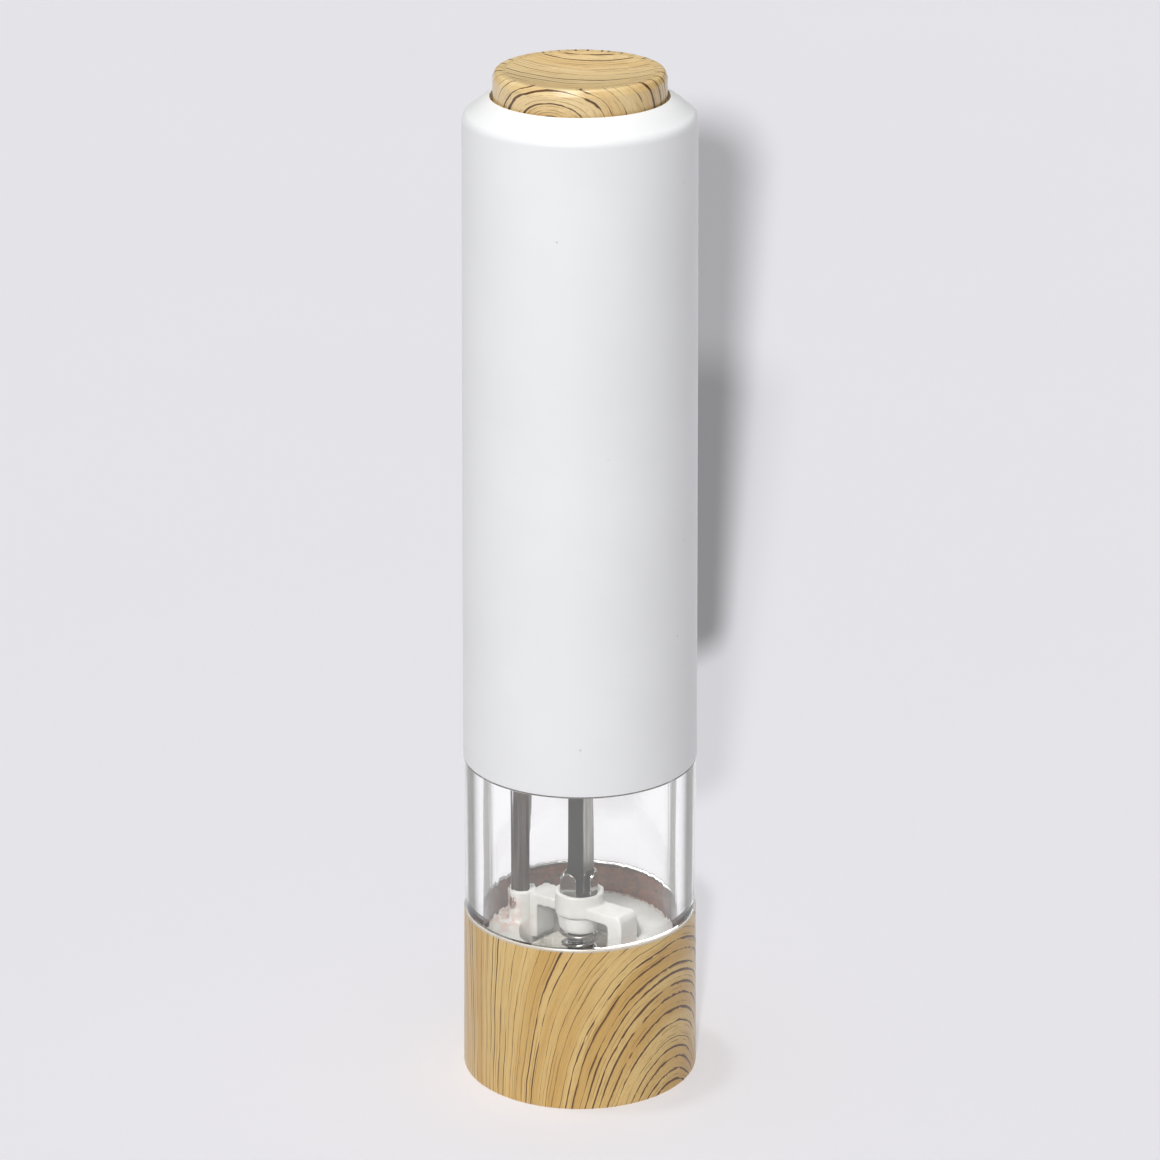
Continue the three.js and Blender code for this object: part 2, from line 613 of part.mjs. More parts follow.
// Dished cap with a rounded rim, hollow below, with a flange that stops it under the shoulder.
function buttonCap() {
  const flangeTop = SLEEVE_TOP - SLEEVE_WALL - GAP;
  const rim = 1.2;
  const profile = [
    [0, BUTTON_TOP - 1.8], [6, BUTTON_TOP - 1.55], [12, BUTTON_TOP - 0.8], [15.6, BUTTON_TOP - 0.15],
    ...arc(BUTTON_R - rim, BUTTON_TOP - rim, rim, 90, 0, 4),
    [BUTTON_R, flangeTop], [20.2, flangeTop], [20.2, flangeTop - 1.5], [16.4, flangeTop - 1.5],
    [16.4, BUTTON_TOP - 3.4], [0, BUTTON_TOP - 3.4],
  ];
  return part('button_cap', turned(profile, ROUND_LARGE), WOOD);
}

function buttonStem() {
  const top = BUTTON_TOP - 3.7;
  const profile = [
    [0, STEM_BOTTOM], [STEM_R - 0.6, STEM_BOTTOM], [STEM_R, STEM_BOTTOM + 0.6], [STEM_R, top - 1.8],
    [9, top - 1.8], [9, top], [0, top],
  ];
  return part('button_stem', turned(profile), WHITE_MATT);
}

function returnSpring() {
  const low = GUIDE_Z + 2.8;
  const high = BUTTON_TOP - 6.0;
  return part('return_spring', coil(4, 0.45, () => 5.5, (share) => low + (high - low) * share), STEEL);
}

// ---------------------------------------------------------------- the mill

const planets = planetAngles().map(planetGear);

export default assembly(
  millBase(), shaftGroup(), rotorGroup(), adjusterKnob(), planets, motorPinion(), motorShaft(),
  driveUnit(), sleeve(), buttonGuide(), buttonCap(), buttonStem(), returnSpring(),
);
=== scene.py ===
"""Looks of a battery pepper mill: detailed pieces, procedural materials, floor, light and camera."""
import math

import bmesh
import bpy
from mathutils import Matrix, Vector


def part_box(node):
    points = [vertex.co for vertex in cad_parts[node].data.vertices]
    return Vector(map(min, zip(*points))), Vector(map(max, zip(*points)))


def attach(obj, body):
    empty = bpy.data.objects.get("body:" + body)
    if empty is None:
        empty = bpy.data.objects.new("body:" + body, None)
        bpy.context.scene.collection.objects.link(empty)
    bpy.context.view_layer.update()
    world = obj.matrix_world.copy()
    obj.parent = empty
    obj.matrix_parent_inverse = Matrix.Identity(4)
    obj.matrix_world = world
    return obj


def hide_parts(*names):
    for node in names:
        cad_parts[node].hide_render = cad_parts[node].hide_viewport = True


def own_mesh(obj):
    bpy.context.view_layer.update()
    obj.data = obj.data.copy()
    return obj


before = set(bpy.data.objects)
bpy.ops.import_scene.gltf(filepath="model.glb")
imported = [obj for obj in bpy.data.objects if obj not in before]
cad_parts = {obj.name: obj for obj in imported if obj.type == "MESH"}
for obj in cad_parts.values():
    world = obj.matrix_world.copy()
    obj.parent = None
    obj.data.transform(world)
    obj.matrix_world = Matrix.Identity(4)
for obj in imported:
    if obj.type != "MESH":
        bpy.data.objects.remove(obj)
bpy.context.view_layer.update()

MM = 0.001
LATHE_STEPS = 144
ROD_STEPS = 48
TAU = 2 * math.pi
SHAFT_ANGLE = math.radians(-31)
BRIDGE_ANGLE = math.radians(-36.5)
LAMP = (-13.2, 6.0)
CELLS = ((7.6, 7.6, 1), (-7.6, 7.6, -1), (-7.6, -7.6, 1), (7.6, -7.6, -1))
RING_RADIUS = 25.6
CAP_RADIUS = 18.0
SCREW_ANGLES = tuple(math.radians(angle) for angle in (60, 240))
SCREWS = tuple((18 * math.cos(a), 18 * math.sin(a)) for a in SCREW_ANGLES)
BAYONET_ANGLES = (20, 200)
WINDOW_ANGLES = (60, 240)


# ---------------------------------------------------------------- camera

camera_data = bpy.data.cameras.new("camera")
camera_data.lens = 139.97
camera_data.sensor_width = 36
camera_data.clip_end = 50
camera = bpy.data.objects.new("camera", camera_data)
camera.location = (0, -0.9025, 0.4508)
camera.rotation_euler = (math.radians(69.49), 0, 0)
bpy.context.scene.collection.objects.link(camera)
bpy.context.scene.camera = camera
bpy.context.scene.view_settings.view_transform = "Standard"


# ---------------------------------------------------------------- mesh tools

def top_of(node):
    """Height in millimetres of the top of a CAD node."""
    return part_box(node)[1].z / MM


def bottom_of(node):
    """Height in millimetres of the bottom of a CAD node."""
    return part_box(node)[0].z / MM


def finish_mesh(name, bm, sharp=40):
    """Turns a bmesh in millimetres into a linked object in metres, smooth shaded with sharp edges kept."""
    bmesh.ops.recalc_face_normals(bm, faces=bm.faces)
    if bm.calc_volume(signed=True) < 0:
        bmesh.ops.reverse_faces(bm, faces=bm.faces)
    bmesh.ops.scale(bm, vec=(MM, MM, MM), verts=bm.verts)
    mesh = bpy.data.meshes.new(name)
    bm.to_mesh(mesh)
    bm.free()
    mesh.shade_smooth()
    mesh.set_sharp_from_angle(angle=math.radians(sharp))
    piece = bpy.data.objects.new(name, mesh)
    bpy.context.scene.collection.objects.link(piece)
    weighted = piece.modifiers.new("normals", "WEIGHTED_NORMAL")
    weighted.keep_sharp = True
    return piece


def rounded(points, steps=5, closed=True):
    """Replaces each (a, b, radius) corner of an outline by an arc of that radius."""
    out = []
    count = len(points)
    for i, point in enumerate(points):
        here = Vector(point[:2])
        if len(point) < 3 or (not closed and i in (0, count - 1)):
            out.append(tuple(here))
            continue
        before = Vector(points[i - 1][:2]) - here
        after = Vector(points[(i + 1) % count][:2]) - here
        turn = before.angle(after)
        reach = min(point[2] / math.tan(turn / 2), before.length * 0.49, after.length * 0.49)
        radius = reach * math.tan(turn / 2)
        centre = here + (before.normalized() + after.normalized()).normalized() * (radius / math.sin(turn / 2))
        start = here + before.normalized() * reach - centre
        sweep = start.angle_signed(here + after.normalized() * reach - centre)
        for k in range(steps + 1):
            out.append(tuple(centre + Matrix.Rotation(-sweep * k / steps, 2) @ start))
    return out


def lathe_into(bm, points, steps, at=(0, 0)):
    """Turns an outline of (radius, height) points round the vertical line through at."""
    open_path = points[0][0] == 0 and points[-1][0] == 0
    path = rounded(points, closed=not open_path)
    rings = []
    for radius, height in path:
        if radius < 1e-6:
            rings.append([bm.verts.new((at[0], at[1], height))])
            continue
        ring = []
        for k in range(steps):
            a = TAU * k / steps
            ring.append(bm.verts.new((at[0] + radius * math.cos(a), at[1] + radius * math.sin(a), height)))
        rings.append(ring)
    pairs = list(zip(rings, rings[1:]))
    if not open_path:
        pairs.append((rings[-1], rings[0]))
    for low, high in pairs:
        for k in range(steps):
            corners = [low[k % len(low)], low[(k + 1) % len(low)], high[(k + 1) % len(high)], high[k % len(high)]]
            corners = list(dict.fromkeys(corners))
            if len(corners) > 2:
                bm.faces.new(corners)


def lathe(name, points, steps=LATHE_STEPS, at=(0, 0), sharp=40):
    """One turned piece."""
    bm = bmesh.new()
    lathe_into(bm, points, steps, at)
    return finish_mesh(name, bm, sharp)


def rod_path(radius, low, high, edge=0.25):
    """Outline of a plain rod with small rounded edges."""
    return [(0, low), (radius, low, edge), (radius, high, edge), (0, high)]


def stitch(bm, near, far):
    """Closes the solid between two matching rings of vertices."""
    bm.faces.new(near)
    bm.faces.new(far)
    for k in range(len(near)):
        n = (k + 1) % len(near)
        bm.faces.new((near[k], near[n], far[n], far[k]))


def prism_into(bm, outline, low, high, turn=0.0, at=(0, 0)):
    """Extrudes a closed outline upwards, turned about the vertical line through at."""
    c, s = math.cos(turn), math.sin(turn)
    stitch(bm, *(
        [bm.verts.new((at[0] + x * c - y * s, at[1] + x * s + y * c, height)) for x, y in outline]
        for height in (low, high)
    ))


def carve(bm, depth_at):
    """Moves vertices inwards by depth_at(radius, angle, height), where that isn't 0."""
    for vert in bm.verts:
        radius = math.hypot(vert.co.x, vert.co.y)
        depth = depth_at(radius, math.atan2(vert.co.y, vert.co.x), vert.co.z)
        if depth:
            vert.co.x *= (radius - depth) / radius
            vert.co.y *= (radius - depth) / radius


def rectangle(width, depth):
    """Corners of a rectangle centred on the origin."""
    w, d = width / 2, depth / 2
    return [(-w, -d), (w, -d), (w, d), (-w, d)]


def bevelled(bm, width, segments=2, angle=35):
    """Rounds every edge sharper than angle."""
    bmesh.ops.recalc_face_normals(bm, faces=bm.faces)
    sharp = [e for e in bm.edges if len(e.link_faces) == 2 and e.calc_face_angle(0) > math.radians(angle)]
    bmesh.ops.bevel(bm, geom=sharp, offset=width, segments=segments, affect="EDGES", profile=0.5)


def prism(name, outline, low, high, edge=0.2, turn=0.0, at=(0, 0)):
    """One extruded piece with rounded edges."""
    bm = bmesh.new()
    prism_into(bm, outline, low, high, turn, at)
    bevelled(bm, edge)
    return finish_mesh(name, bm)


def sweep(name, path, radius, sides=12):
    """A round wire of the given radius along a path of points."""
    bm = bmesh.new()
    rings = []
    up = Vector((0, 0, 1))
    for i, point in enumerate(path):
        ahead = (path[min(i + 1, len(path) - 1)] - path[max(i - 1, 0)]).normalized()
        across = ahead.cross(up).normalized()
        over = across.cross(ahead)
        rings.append([
            bm.verts.new(point + (across * math.cos(TAU * k / sides) + over * math.sin(TAU * k / sides)) * radius)
            for k in range(sides)
        ])
    for low, high in zip(rings, rings[1:]):
        for k in range(sides):
            bm.faces.new((low[k], low[(k + 1) % sides], high[(k + 1) % sides], high[k]))
    bm.faces.new(rings[0])
    bm.faces.new(rings[-1])
    return finish_mesh(name, bm)


def coil(name, turns, radius_at, low, high, wire, at=(0, 0), start=0.0, rests=0.75):
    """A wound spring whose first and last turns lie nearly flat; radius_at gives its radius along its length."""
    path = []
    count = int(turns * 40)
    for k in range(count + 1):
        f = k / count
        rise = min(max((f * turns - rests) / max(turns - 2 * rests, 0.2), 0), 1)
        height = low + (high - low) * (0.06 * f + 0.94 * rise)
        a = start + TAU * turns * f
        r = radius_at(f)
        path.append(Vector((at[0] + r * math.cos(a), at[1] + r * math.sin(a), height)))
    return sweep(name, path, wire)


def sector(inner, outer, start, end, steps=24):
    """Outline of a ring sector, angles in degrees."""
    near = [math.radians(start + (end - start) * k / steps) for k in range(steps + 1)]
    rim = [(outer * math.cos(a), outer * math.sin(a)) for a in near]
    return rim + [(inner * math.cos(a), inner * math.sin(a)) for a in reversed(near)]


def cut_away(piece, cutters):
    """Cuts the cutters out of a piece and drops them."""
    for cutter in cutters:
        change = piece.modifiers.new("cut", "BOOLEAN")
        change.operation = "DIFFERENCE"
        change.solver = "EXACT"
        change.object = cutter
    bake(piece)
    for cutter in cutters:
        bpy.data.objects.remove(cutter)
    piece.data.shade_smooth()
    piece.data.set_sharp_from_angle(angle=math.radians(40))
    piece.modifiers.new("normals", "WEIGHTED_NORMAL").keep_sharp = True
    return piece


def bake(piece):
    """Replaces a piece's mesh by the result of its modifiers."""
    graph = bpy.context.evaluated_depsgraph_get()
    mesh = bpy.data.meshes.new_from_object(piece.evaluated_get(graph))
    piece.modifiers.clear()
    piece.data = mesh


def joined(name, parts):
    """One piece holding the meshes of several parts."""
    bm = bmesh.new()
    for part in parts:
        bm.from_mesh(part.data)
        bpy.data.objects.remove(part)
    bmesh.ops.scale(bm, vec=(1 / MM, 1 / MM, 1 / MM), verts=bm.verts)
    return finish_mesh(name, bm)


def moulded(name, parts, voxel, smooth):
    """One moulding out of overlapping parts, with soft inner and outer corners."""
    piece = joined(name, parts)
    piece.modifiers.clear()
    remesh = piece.modifiers.new("remesh", "REMESH")
    remesh.mode = "VOXEL"
    remesh.voxel_size = voxel * MM
    soften = piece.modifiers.new("soften", "SMOOTH")
    soften.factor = 0.5
    soften.iterations = smooth
    bake(piece)
    piece.data.shade_smooth()
    return piece


# ---------------------------------------------------------------- material tools

def srgb(red, green, blue):
    """Linear colour of an 8-bit display colour."""
    def linear(value):
        value /= 255
        return value / 12.92 if value <= 0.04045 else ((value + 0.055) / 1.055) ** 2.4
    return (linear(red), linear(green), linear(blue), 1.0)


class Value:
    """A number computed by nodes; arithmetic on it adds math nodes."""

    def __init__(self, net, socket):
        self.net = net
        self.socket = socket

    def __add__(self, other):
        return self.net.math("ADD", self, other)

    def __radd__(self, other):
        return self.net.math("ADD", other, self)

    def __sub__(self, other):
        return self.net.math("SUBTRACT", self, other)

    def __rsub__(self, other):
        return self.net.math("SUBTRACT", other, self)

    def __mul__(self, other):
        return self.net.math("MULTIPLY", self, other)

    def __rmul__(self, other):
        return self.net.math("MULTIPLY", other, self)

    def __truediv__(self, other):
        return self.net.math("DIVIDE", self, other)


class Net:
    """A node material whose coordinates are the piece's own, in millimetres."""

    def __init__(self, name):
        self.material = bpy.data.materials.new(name)
        self.material.use_nodes = True
        tree = self.material.node_tree
        self.nodes = tree.nodes
        self.links = tree.links
        self.nodes.clear()
        self.output = self.nodes.new("ShaderNodeOutputMaterial")
        coordinates = self.nodes.new("ShaderNodeTexCoord")
        scaled = self.nodes.new("ShaderNodeVectorMath")
        scaled.operation = "SCALE"
        scaled.inputs["Scale"].default_value = 1 / MM
        self.links.new(coordinates.outputs["Object"], scaled.inputs[0])
        self.point = Value(self, scaled.outputs[0])
        split = self.nodes.new("ShaderNodeSeparateXYZ")
        self.links.new(scaled.outputs[0], split.inputs[0])
        self.x, self.y, self.z = (Value(self, split.outputs[k]) for k in range(3))

    def put(self, socket, value):
        """Links a computed value to a socket, or sets a constant on it."""
        if isinstance(value, Value):
            self.links.new(value.socket, socket)
        else:
            socket.default_value = value

    def math(self, kind, *values):
        node = self.nodes.new("ShaderNodeMath")
        node.operation = kind
        for socket, value in zip(node.inputs, values):
            self.put(socket, value)
        return Value(self, node.outputs[0])

    def fade(self, value, low, high, to_low=0.0, to_high=1.0):
        """Smooth step of a value from to_low at low to to_high at high."""
        node = self.nodes.new("ShaderNodeMapRange")
        node.interpolation_type = "SMOOTHSTEP"
        for socket, number in zip(node.inputs, (value, low, high, to_low, to_high)):
            self.put(socket, number)
        return Value(self, node.outputs[0])

    def vector(self, x, y, z):
        node = self.nodes.new("ShaderNodeCombineXYZ")
        for socket, value in zip(node.inputs, (x, y, z)):
            self.put(socket, value)
        return Value(self, node.outputs[0])

    def noise(self, scale, detail=3.0, roughness=0.55, at=None):
        node = self.nodes.new("ShaderNodeTexNoise")
        self.put(node.inputs["Vector"], at or self.point)
        node.inputs["Scale"].default_value = scale
        node.inputs["Detail"].default_value = detail
        node.inputs["Roughness"].default_value = roughness
        return Value(self, node.outputs["Fac"])

    def edges(self, value, scale):
        """Distance from irregularly spaced lines across a value, in the value's own unit."""
        node = self.nodes.new("ShaderNodeTexVoronoi")
        node.voronoi_dimensions = "1D"
        node.feature = "DISTANCE_TO_EDGE"
        self.put(node.inputs["W"], value)
        node.inputs["Scale"].default_value = scale
        return Value(self, node.outputs["Distance"]) * (1 / scale)

    def cells(self, value, scale):
        """One random number for each irregular band across a value."""
        node = self.nodes.new("ShaderNodeTexVoronoi")
        node.voronoi_dimensions = "1D"
        self.put(node.inputs["W"], value)
        node.inputs["Scale"].default_value = scale
        split = self.nodes.new("ShaderNodeSeparateColor")
        self.links.new(node.outputs["Color"], split.inputs[0])
        return Value(self, split.outputs[0])

    def specks(self, scale, size):
        """Small round dots scattered evenly, 1 inside a dot."""
        node = self.nodes.new("ShaderNodeTexVoronoi")
        self.put(node.inputs["Vector"], self.point)
        node.inputs["Scale"].default_value = scale
        return self.fade(Value(self, node.outputs["Distance"]), size, size * 0.5)

    def ball(self, centre, inner, outer):
        """1 within inner millimetres of a point, fading to 0 at outer."""
        node = self.nodes.new("ShaderNodeVectorMath")
        node.operation = "DISTANCE"
        self.put(node.inputs[0], self.point)
        node.inputs[1].default_value = centre
        return self.fade(Value(self, node.outputs["Value"]), outer, inner)

    def mix(self, factor, first, second):
        node = self.nodes.new("ShaderNodeMix")
        node.data_type = "RGBA"
        self.put(node.inputs["Factor"], factor)
        self.put(node.inputs[6], first)
        self.put(node.inputs[7], second)
        return Value(self, node.outputs[2])

    def radius(self):
        return self.math("SQRT", self.x * self.x + self.y * self.y)

    def bump(self, height, distance):
        """Normal bent by a height given in millimetres times distance."""
        node = self.nodes.new("ShaderNodeBump")
        node.inputs["Strength"].default_value = 1.0
        node.inputs["Distance"].default_value = distance * MM
        self.put(node.inputs["Height"], height)
        return Value(self, node.outputs["Normal"])

    def surface(self, **settings):
        """Adds the surface shader; setting names are its sockets with underscores for spaces."""
        shader = self.nodes.new("ShaderNodeBsdfPrincipled")
        for key, value in settings.items():
            self.put(shader.inputs[key.replace("_", " ")], value)
        self.links.new(shader.outputs[0], self.output.inputs["Surface"])
        return self.material


# ---------------------------------------------------------------- materials

def printed_wood(net, field, along, slow, density, dash, bold, pale, honey):
    """Wood print: dark broken lines, fine streaks and honey bands across a field, running along it."""
    warp = (net.noise(0.06, 2.0) - 0.5) * slow + (net.noise(0.5, 2.0) - 0.5) * 0.25
    lines = field + warp
    stretched = net.vector(lines, along * 0.05, 0.0)
    streak = net.noise(1.8, 5.0, 0.7, stretched)
    fine = net.noise(3.2, 4.0, 0.7, net.vector(lines, along * 0.12, 3.0))
    band = net.noise(0.16, 2.0, 0.5, net.vector(lines, along * 0.1, 7.0))
    tone = net.mix(net.fade(band, 0.36, 0.66), pale, honey)
    tone = net.mix(net.fade(streak, 0.45, 0.75) * 0.5, tone, srgb(200, 150, 82))
    tone = net.mix(net.fade(fine, 0.5, 0.72) * 0.45, tone, srgb(178, 130, 72))
    breaks = net.noise(0.42, 3.0, 0.7, net.vector(lines * 0.9, along * dash, 1.0))
    heavy = net.cells(lines, density)
    width = net.fade(breaks, 0.34, 0.56, 0.0, 0.5) * net.fade(heavy, 0.3, 0.9, 0.14, 1.0) * bold
    dark = 1.0 - net.math("MINIMUM", net.edges(lines, density) / (width + 0.02), 1.0)
    thin = net.fade(net.edges(lines + 0.8, 0.7), 0.0, 0.2, 1.0, 0.0) * net.fade(breaks, 0.46, 0.62)
    tone = net.mix(thin * 0.7, tone, srgb(126, 82, 38))
    tone = net.mix(net.fade(dark, 0.0, 0.35) * 0.95, tone, srgb(86, 52, 22))
    return tone, dark, streak


def base_wood():
    """Print on the base ring: arches round one side that fan into upright lines at the other."""
    net = Net("base_wood")
    face = math.radians(52)
    forward = net.x * math.sin(face) - net.y * math.cos(face)
    across = net.x * math.cos(face) + net.y * math.sin(face)
    s = net.math("ARCTAN2", across, forward) * RING_RADIUS
    height = net.z + 20.0  # the arches' middle lies 20 mm below the floor
    weight = net.math("MAXIMUM", 1.0 - s * s * (1 / 2300), -0.5)
    square = s * s * 4.0 + weight * height * height
    field = net.math("SQRT", net.math("MAXIMUM", square, 0.0))
    along = net.math("ARCTAN2", s * 2.0, height) * 40.0
    bold = net.fade(s, -52.0, -12.0, 0.85, 1.2)
    tone, dark, streak = printed_wood(net, field, along, 2.4, 0.36, 0.2, bold,
                                      srgb(230, 197, 128), srgb(212, 171, 96))
    radius = net.radius()
    rim = net.fade(net.z, 37.25, 37.45) * net.fade(radius, 23.6, 23.9)
    tone = net.mix(rim * 0.8, tone, srgb(206, 203, 198))
    inner = net.fade(radius, 24.6, 24.2)
    # the inner wall, in the narrow gap behind the clear skirt, is coloured dark brown and mottled, darker along its top
    # edge, with dark grains
    wall_mottle = net.noise(0.5, 4.0, 0.65)
    wall = net.mix(net.fade(wall_mottle, 0.35, 0.7), srgb(136, 74, 34), srgb(86, 40, 14))
    edge = net.fade(net.z + (net.noise(0.9, 3.0) - 0.5) * 1.2, 36.7, 37.4)
    wall = net.mix(edge * 0.85, wall, srgb(66, 46, 34))
    grains = net.specks(0.9, 0.42) * net.fade(net.noise(0.22, 2.0), 0.44, 0.56)
    wall = net.mix(grains, wall, srgb(58, 30, 16))
    tone = net.mix(inner, tone, wall)
    rough = 0.3 + streak * 0.12 + inner * 0.45
    return net.surface(Base_Color=tone, Roughness=rough, Coat_Weight=0.25, Coat_Roughness=0.15,
                       Normal=net.bump(streak * 0.4 - dark, 0.02))


def cap_wood():
    """Print on the button: long arcs over the dished top, arches round a knot on the side."""
    net = Net("cap_wood")
    face = math.radians(-19)
    forward = net.x * math.sin(face) - net.y * math.cos(face)
    across = net.x * math.cos(face) + net.y * math.sin(face)
    s = net.math("ARCTAN2", across, forward) * CAP_RADIUS
    lift = (net.z - 217.6) * 1.6
    side_field = net.math("SQRT", s * s + lift * lift)
    side_along = net.math("ARCTAN2", s, lift) * 14.0
    px = net.x - 10.0
    py = net.y - 60.0
    top_field = net.math("SQRT", px * px + py * py)
    top_along = net.math("ARCTAN2", px, py) * 60.0
    top = net.fade(net.radius() + (net.noise(0.4, 2.0) - 0.5) * 0.8, 15.9, 15.2)
    field = side_field * (1.0 - top) + (top_field + 37.0) * top
    along = side_along * (1.0 - top) + top_along * top
    tone, dark, streak = printed_wood(net, field, along, 2.4, 0.3, 0.16, 1.05,
                                      srgb(240, 214, 160), srgb(230, 198, 138))
    eye_x = s + 0.5
    eye = net.fade(net.math("SQRT", eye_x * eye_x + lift * lift * 9.0 - 18.0 * lift + 9.0), 2.6, 1.0)
    tone = net.mix(eye * net.fade(streak, 0.35, 0.6) * (1.0 - top), tone, srgb(92, 60, 30))
    inside = net.fade(net.z, 217.0, 216.6)
    tone = net.mix(inside, tone, srgb(226, 205, 166))
    rough = 0.26 + streak * 0.1
    return net.surface(Base_Color=tone, Roughness=rough, Coat_Weight=0.35, Coat_Roughness=0.12,
                       Normal=net.bump(streak * 0.3 - dark, 0.015))


def sleeve_white():
    """White lacquered shell, faintly uneven, with a few specks of dust."""
    net = Net("sleeve_white")
    cloud = net.noise(0.03, 3.0)
    grain = net.noise(2.2, 4.0, 0.6)
    tone = net.mix(net.fade(cloud, 0.3, 0.7), srgb(247, 248, 249), srgb(243, 244, 244))
    dust = net.specks(0.16, 0.05) * net.fade(net.noise(0.09, 1.0), 0.5, 0.6)
    tone = net.mix(dust * 0.5, tone, srgb(186, 184, 178))
    inside = net.fade(net.radius(), 24.0, 23.6) * net.fade(net.z, 216.0, 214.0)
    tone = net.mix(inside * 0.5, tone, srgb(226, 226, 222))
    rough = 0.30 + grain * 0.08
    return net.surface(Base_Color=tone, Roughness=rough, Coat_Weight=0.15, Coat_Roughness=0.2,
                       Normal=net.bump(grain, 0.004))


def moulded_white(name, light=(238, 238, 235), dark=(230, 229, 225), residue_and_shade=False):
    """White moulded plastic with a fine texture; where asked, pepper residue, plus painted shade down the funnel below
    the floor.
    """
    net = Net(name)
    cloud = net.noise(0.12, 4.0)
    grain = net.noise(3.5, 3.0, 0.6)
    tone = net.mix(net.fade(cloud, 0.3, 0.7), srgb(*light), srgb(*dark))
    if residue_and_shade:
        floor_top = top_of("chamber_floor") - 9.4
        patchy = net.fade(net.noise(0.35, 4.0, 0.65), 0.36, 0.62)
        pink = net.ball((-19.0, 6.0, floor_top), 3.0, 11.0) * patchy
        tone = net.mix(pink * 0.85, tone, srgb(190, 148, 128))
        rust = net.ball((-15.6, 3.8, floor_top + 4.6), 0.9, 2.2) * net.fade(net.noise(1.2, 4.0, 0.7), 0.40, 0.5)
        tone = net.mix(rust, tone, srgb(104, 48, 24))
        rim = net.fade(net.radius(), 19.4, 21.0) * net.fade(net.y, 0.0, 5.0) * net.fade(net.x, -2.0, 4.0)
        tone = net.mix(rim * patchy * 0.8, tone, srgb(172, 130, 108))
        grains = net.specks(0.9, 0.42) * rim * net.fade(net.noise(0.4, 2.0), 0.40, 0.52)
        tone = net.mix(grains, tone, srgb(104, 62, 40))
        # painted shade: the funnel slope below the floor is greyed, standing in for the shade that falls down it
        slope = net.fade(net.z, floor_top - 0.4, floor_top - 4.6) * net.fade(net.radius(), 13.8, 13.2)
        tone = net.mix(slope * 0.55, tone, srgb(172, 168, 164))
        leg = net.ball((11.6, -8.6, floor_top + 0.6), 1.0, 4.6)
        tone = net.mix(leg * patchy * 0.5, tone, srgb(204, 180, 170))
    return net.surface(Base_Color=tone, Roughness=0.42 + grain * 0.1, Normal=net.bump(grain, 0.006))


def clear_plastic():
    """Clear chamber wall with hairline scratches, a painted dark band where it is seen slantwise, and a painted glow:
    the wall above the ledge emits light though it is no lamp.
    """
    net = Net("clear_wall")
    scratch = net.noise(1.0, 5.0, 0.75, net.vector(net.x * 0.6, net.y * 0.6, net.z * 3.0))
    haze = net.fade(scratch, 0.55, 0.8, 0.0, 0.05)
    flow = net.noise(0.5, 2.0, 0.5, net.vector(net.x, net.y, net.z * 0.04))
    # painted light: the wall above the ledge glows faintly, brightening what is seen through it
    painted_glow = net.mix(net.fade(net.z, 37.9, 39.5), (0.0, 0.0, 0.0, 1.0), (1.0, 0.995, 0.955, 1.0))
    facing = net.nodes.new("ShaderNodeLayerWeight")
    facing.inputs["Blend"].default_value = 0.5
    slant = Value(net, facing.outputs["Facing"])
    # painted shade: a dark band where the wall is seen slantwise, standing in for the dark edges that refraction gives
    # a clear tube
    edge = net.fade(slant, 0.52, 0.66) * net.fade(slant, 0.86, 0.76)
    tone = net.mix(edge, (1.0, 1.0, 0.995, 1.0), (0.07, 0.075, 0.062, 1.0))
    return net.surface(Base_Color=tone, Roughness=haze + 0.01, IOR=1.49,
                       Transmission_Weight=1.0, Emission_Color=painted_glow,
                       Emission_Strength=0.042, Normal=net.bump(flow, 0.04))


def metal(name, light, dark, rough, lengthways=True, stain=0.0, painted_face_shade=False):
    """Drawn or rolled metal with fine streaks along its length; where asked, two opposite faces of the square shaft are
    painted dark as shade.
    """
    net = Net(name)
    if lengthways:
        grain = net.noise(2.4, 3.0, 0.6, net.vector(net.x, net.y, net.z * 0.03))
    else:
        grain = net.noise(6.0, 4.0, 0.6)
    smudge = net.noise(0.5, 4.0, 0.6)
    tone = net.mix(net.fade(grain, 0.35, 0.7), srgb(*light), srgb(*dark))
    if stain:
        tone = net.mix(net.fade(smudge, 0.5, 0.7) * stain, tone, srgb(118, 88, 66))
    if painted_face_shade:
        # painted shade: two opposite faces of the square shaft, the front-left one among them, are darkened as if
        # shaded
        across = net.math("ABSOLUTE", net.y * math.cos(SHAFT_ANGLE) - net.x * math.sin(SHAFT_ANGLE))
        tone = net.mix(net.fade(across, 1.86, 2.04), tone, srgb(44, 45, 42))
    return net.surface(Base_Color=tone, Metallic=1.0, Roughness=rough + smudge * 0.08,
                       Normal=net.bump(grain, 0.003))


def lamp_metal():
    """Dull lamp tube with brownish upright streaks."""
    net = Net("lamp_metal")
    px = net.x - LAMP[0]
    py = net.y - LAMP[1]
    turn = net.math("ARCTAN2", px, 0.0 - py) * 2.25
    streak = net.noise(1.5, 4.0, 0.65, net.vector(turn, net.z * 0.02, 0.0))
    blotch = net.noise(0.6, 3.0, 0.6)
    tone = net.mix(net.fade(streak, 0.34, 0.64), srgb(100, 90, 82), srgb(36, 28, 22))
    tone = net.mix(net.fade(blotch, 0.5, 0.72) * 0.5, tone, srgb(84, 66, 56))
    return net.surface(Base_Color=tone, Metallic=0.75, Roughness=0.3 + blotch * 0.15,
                       Normal=net.bump(streak, 0.01))


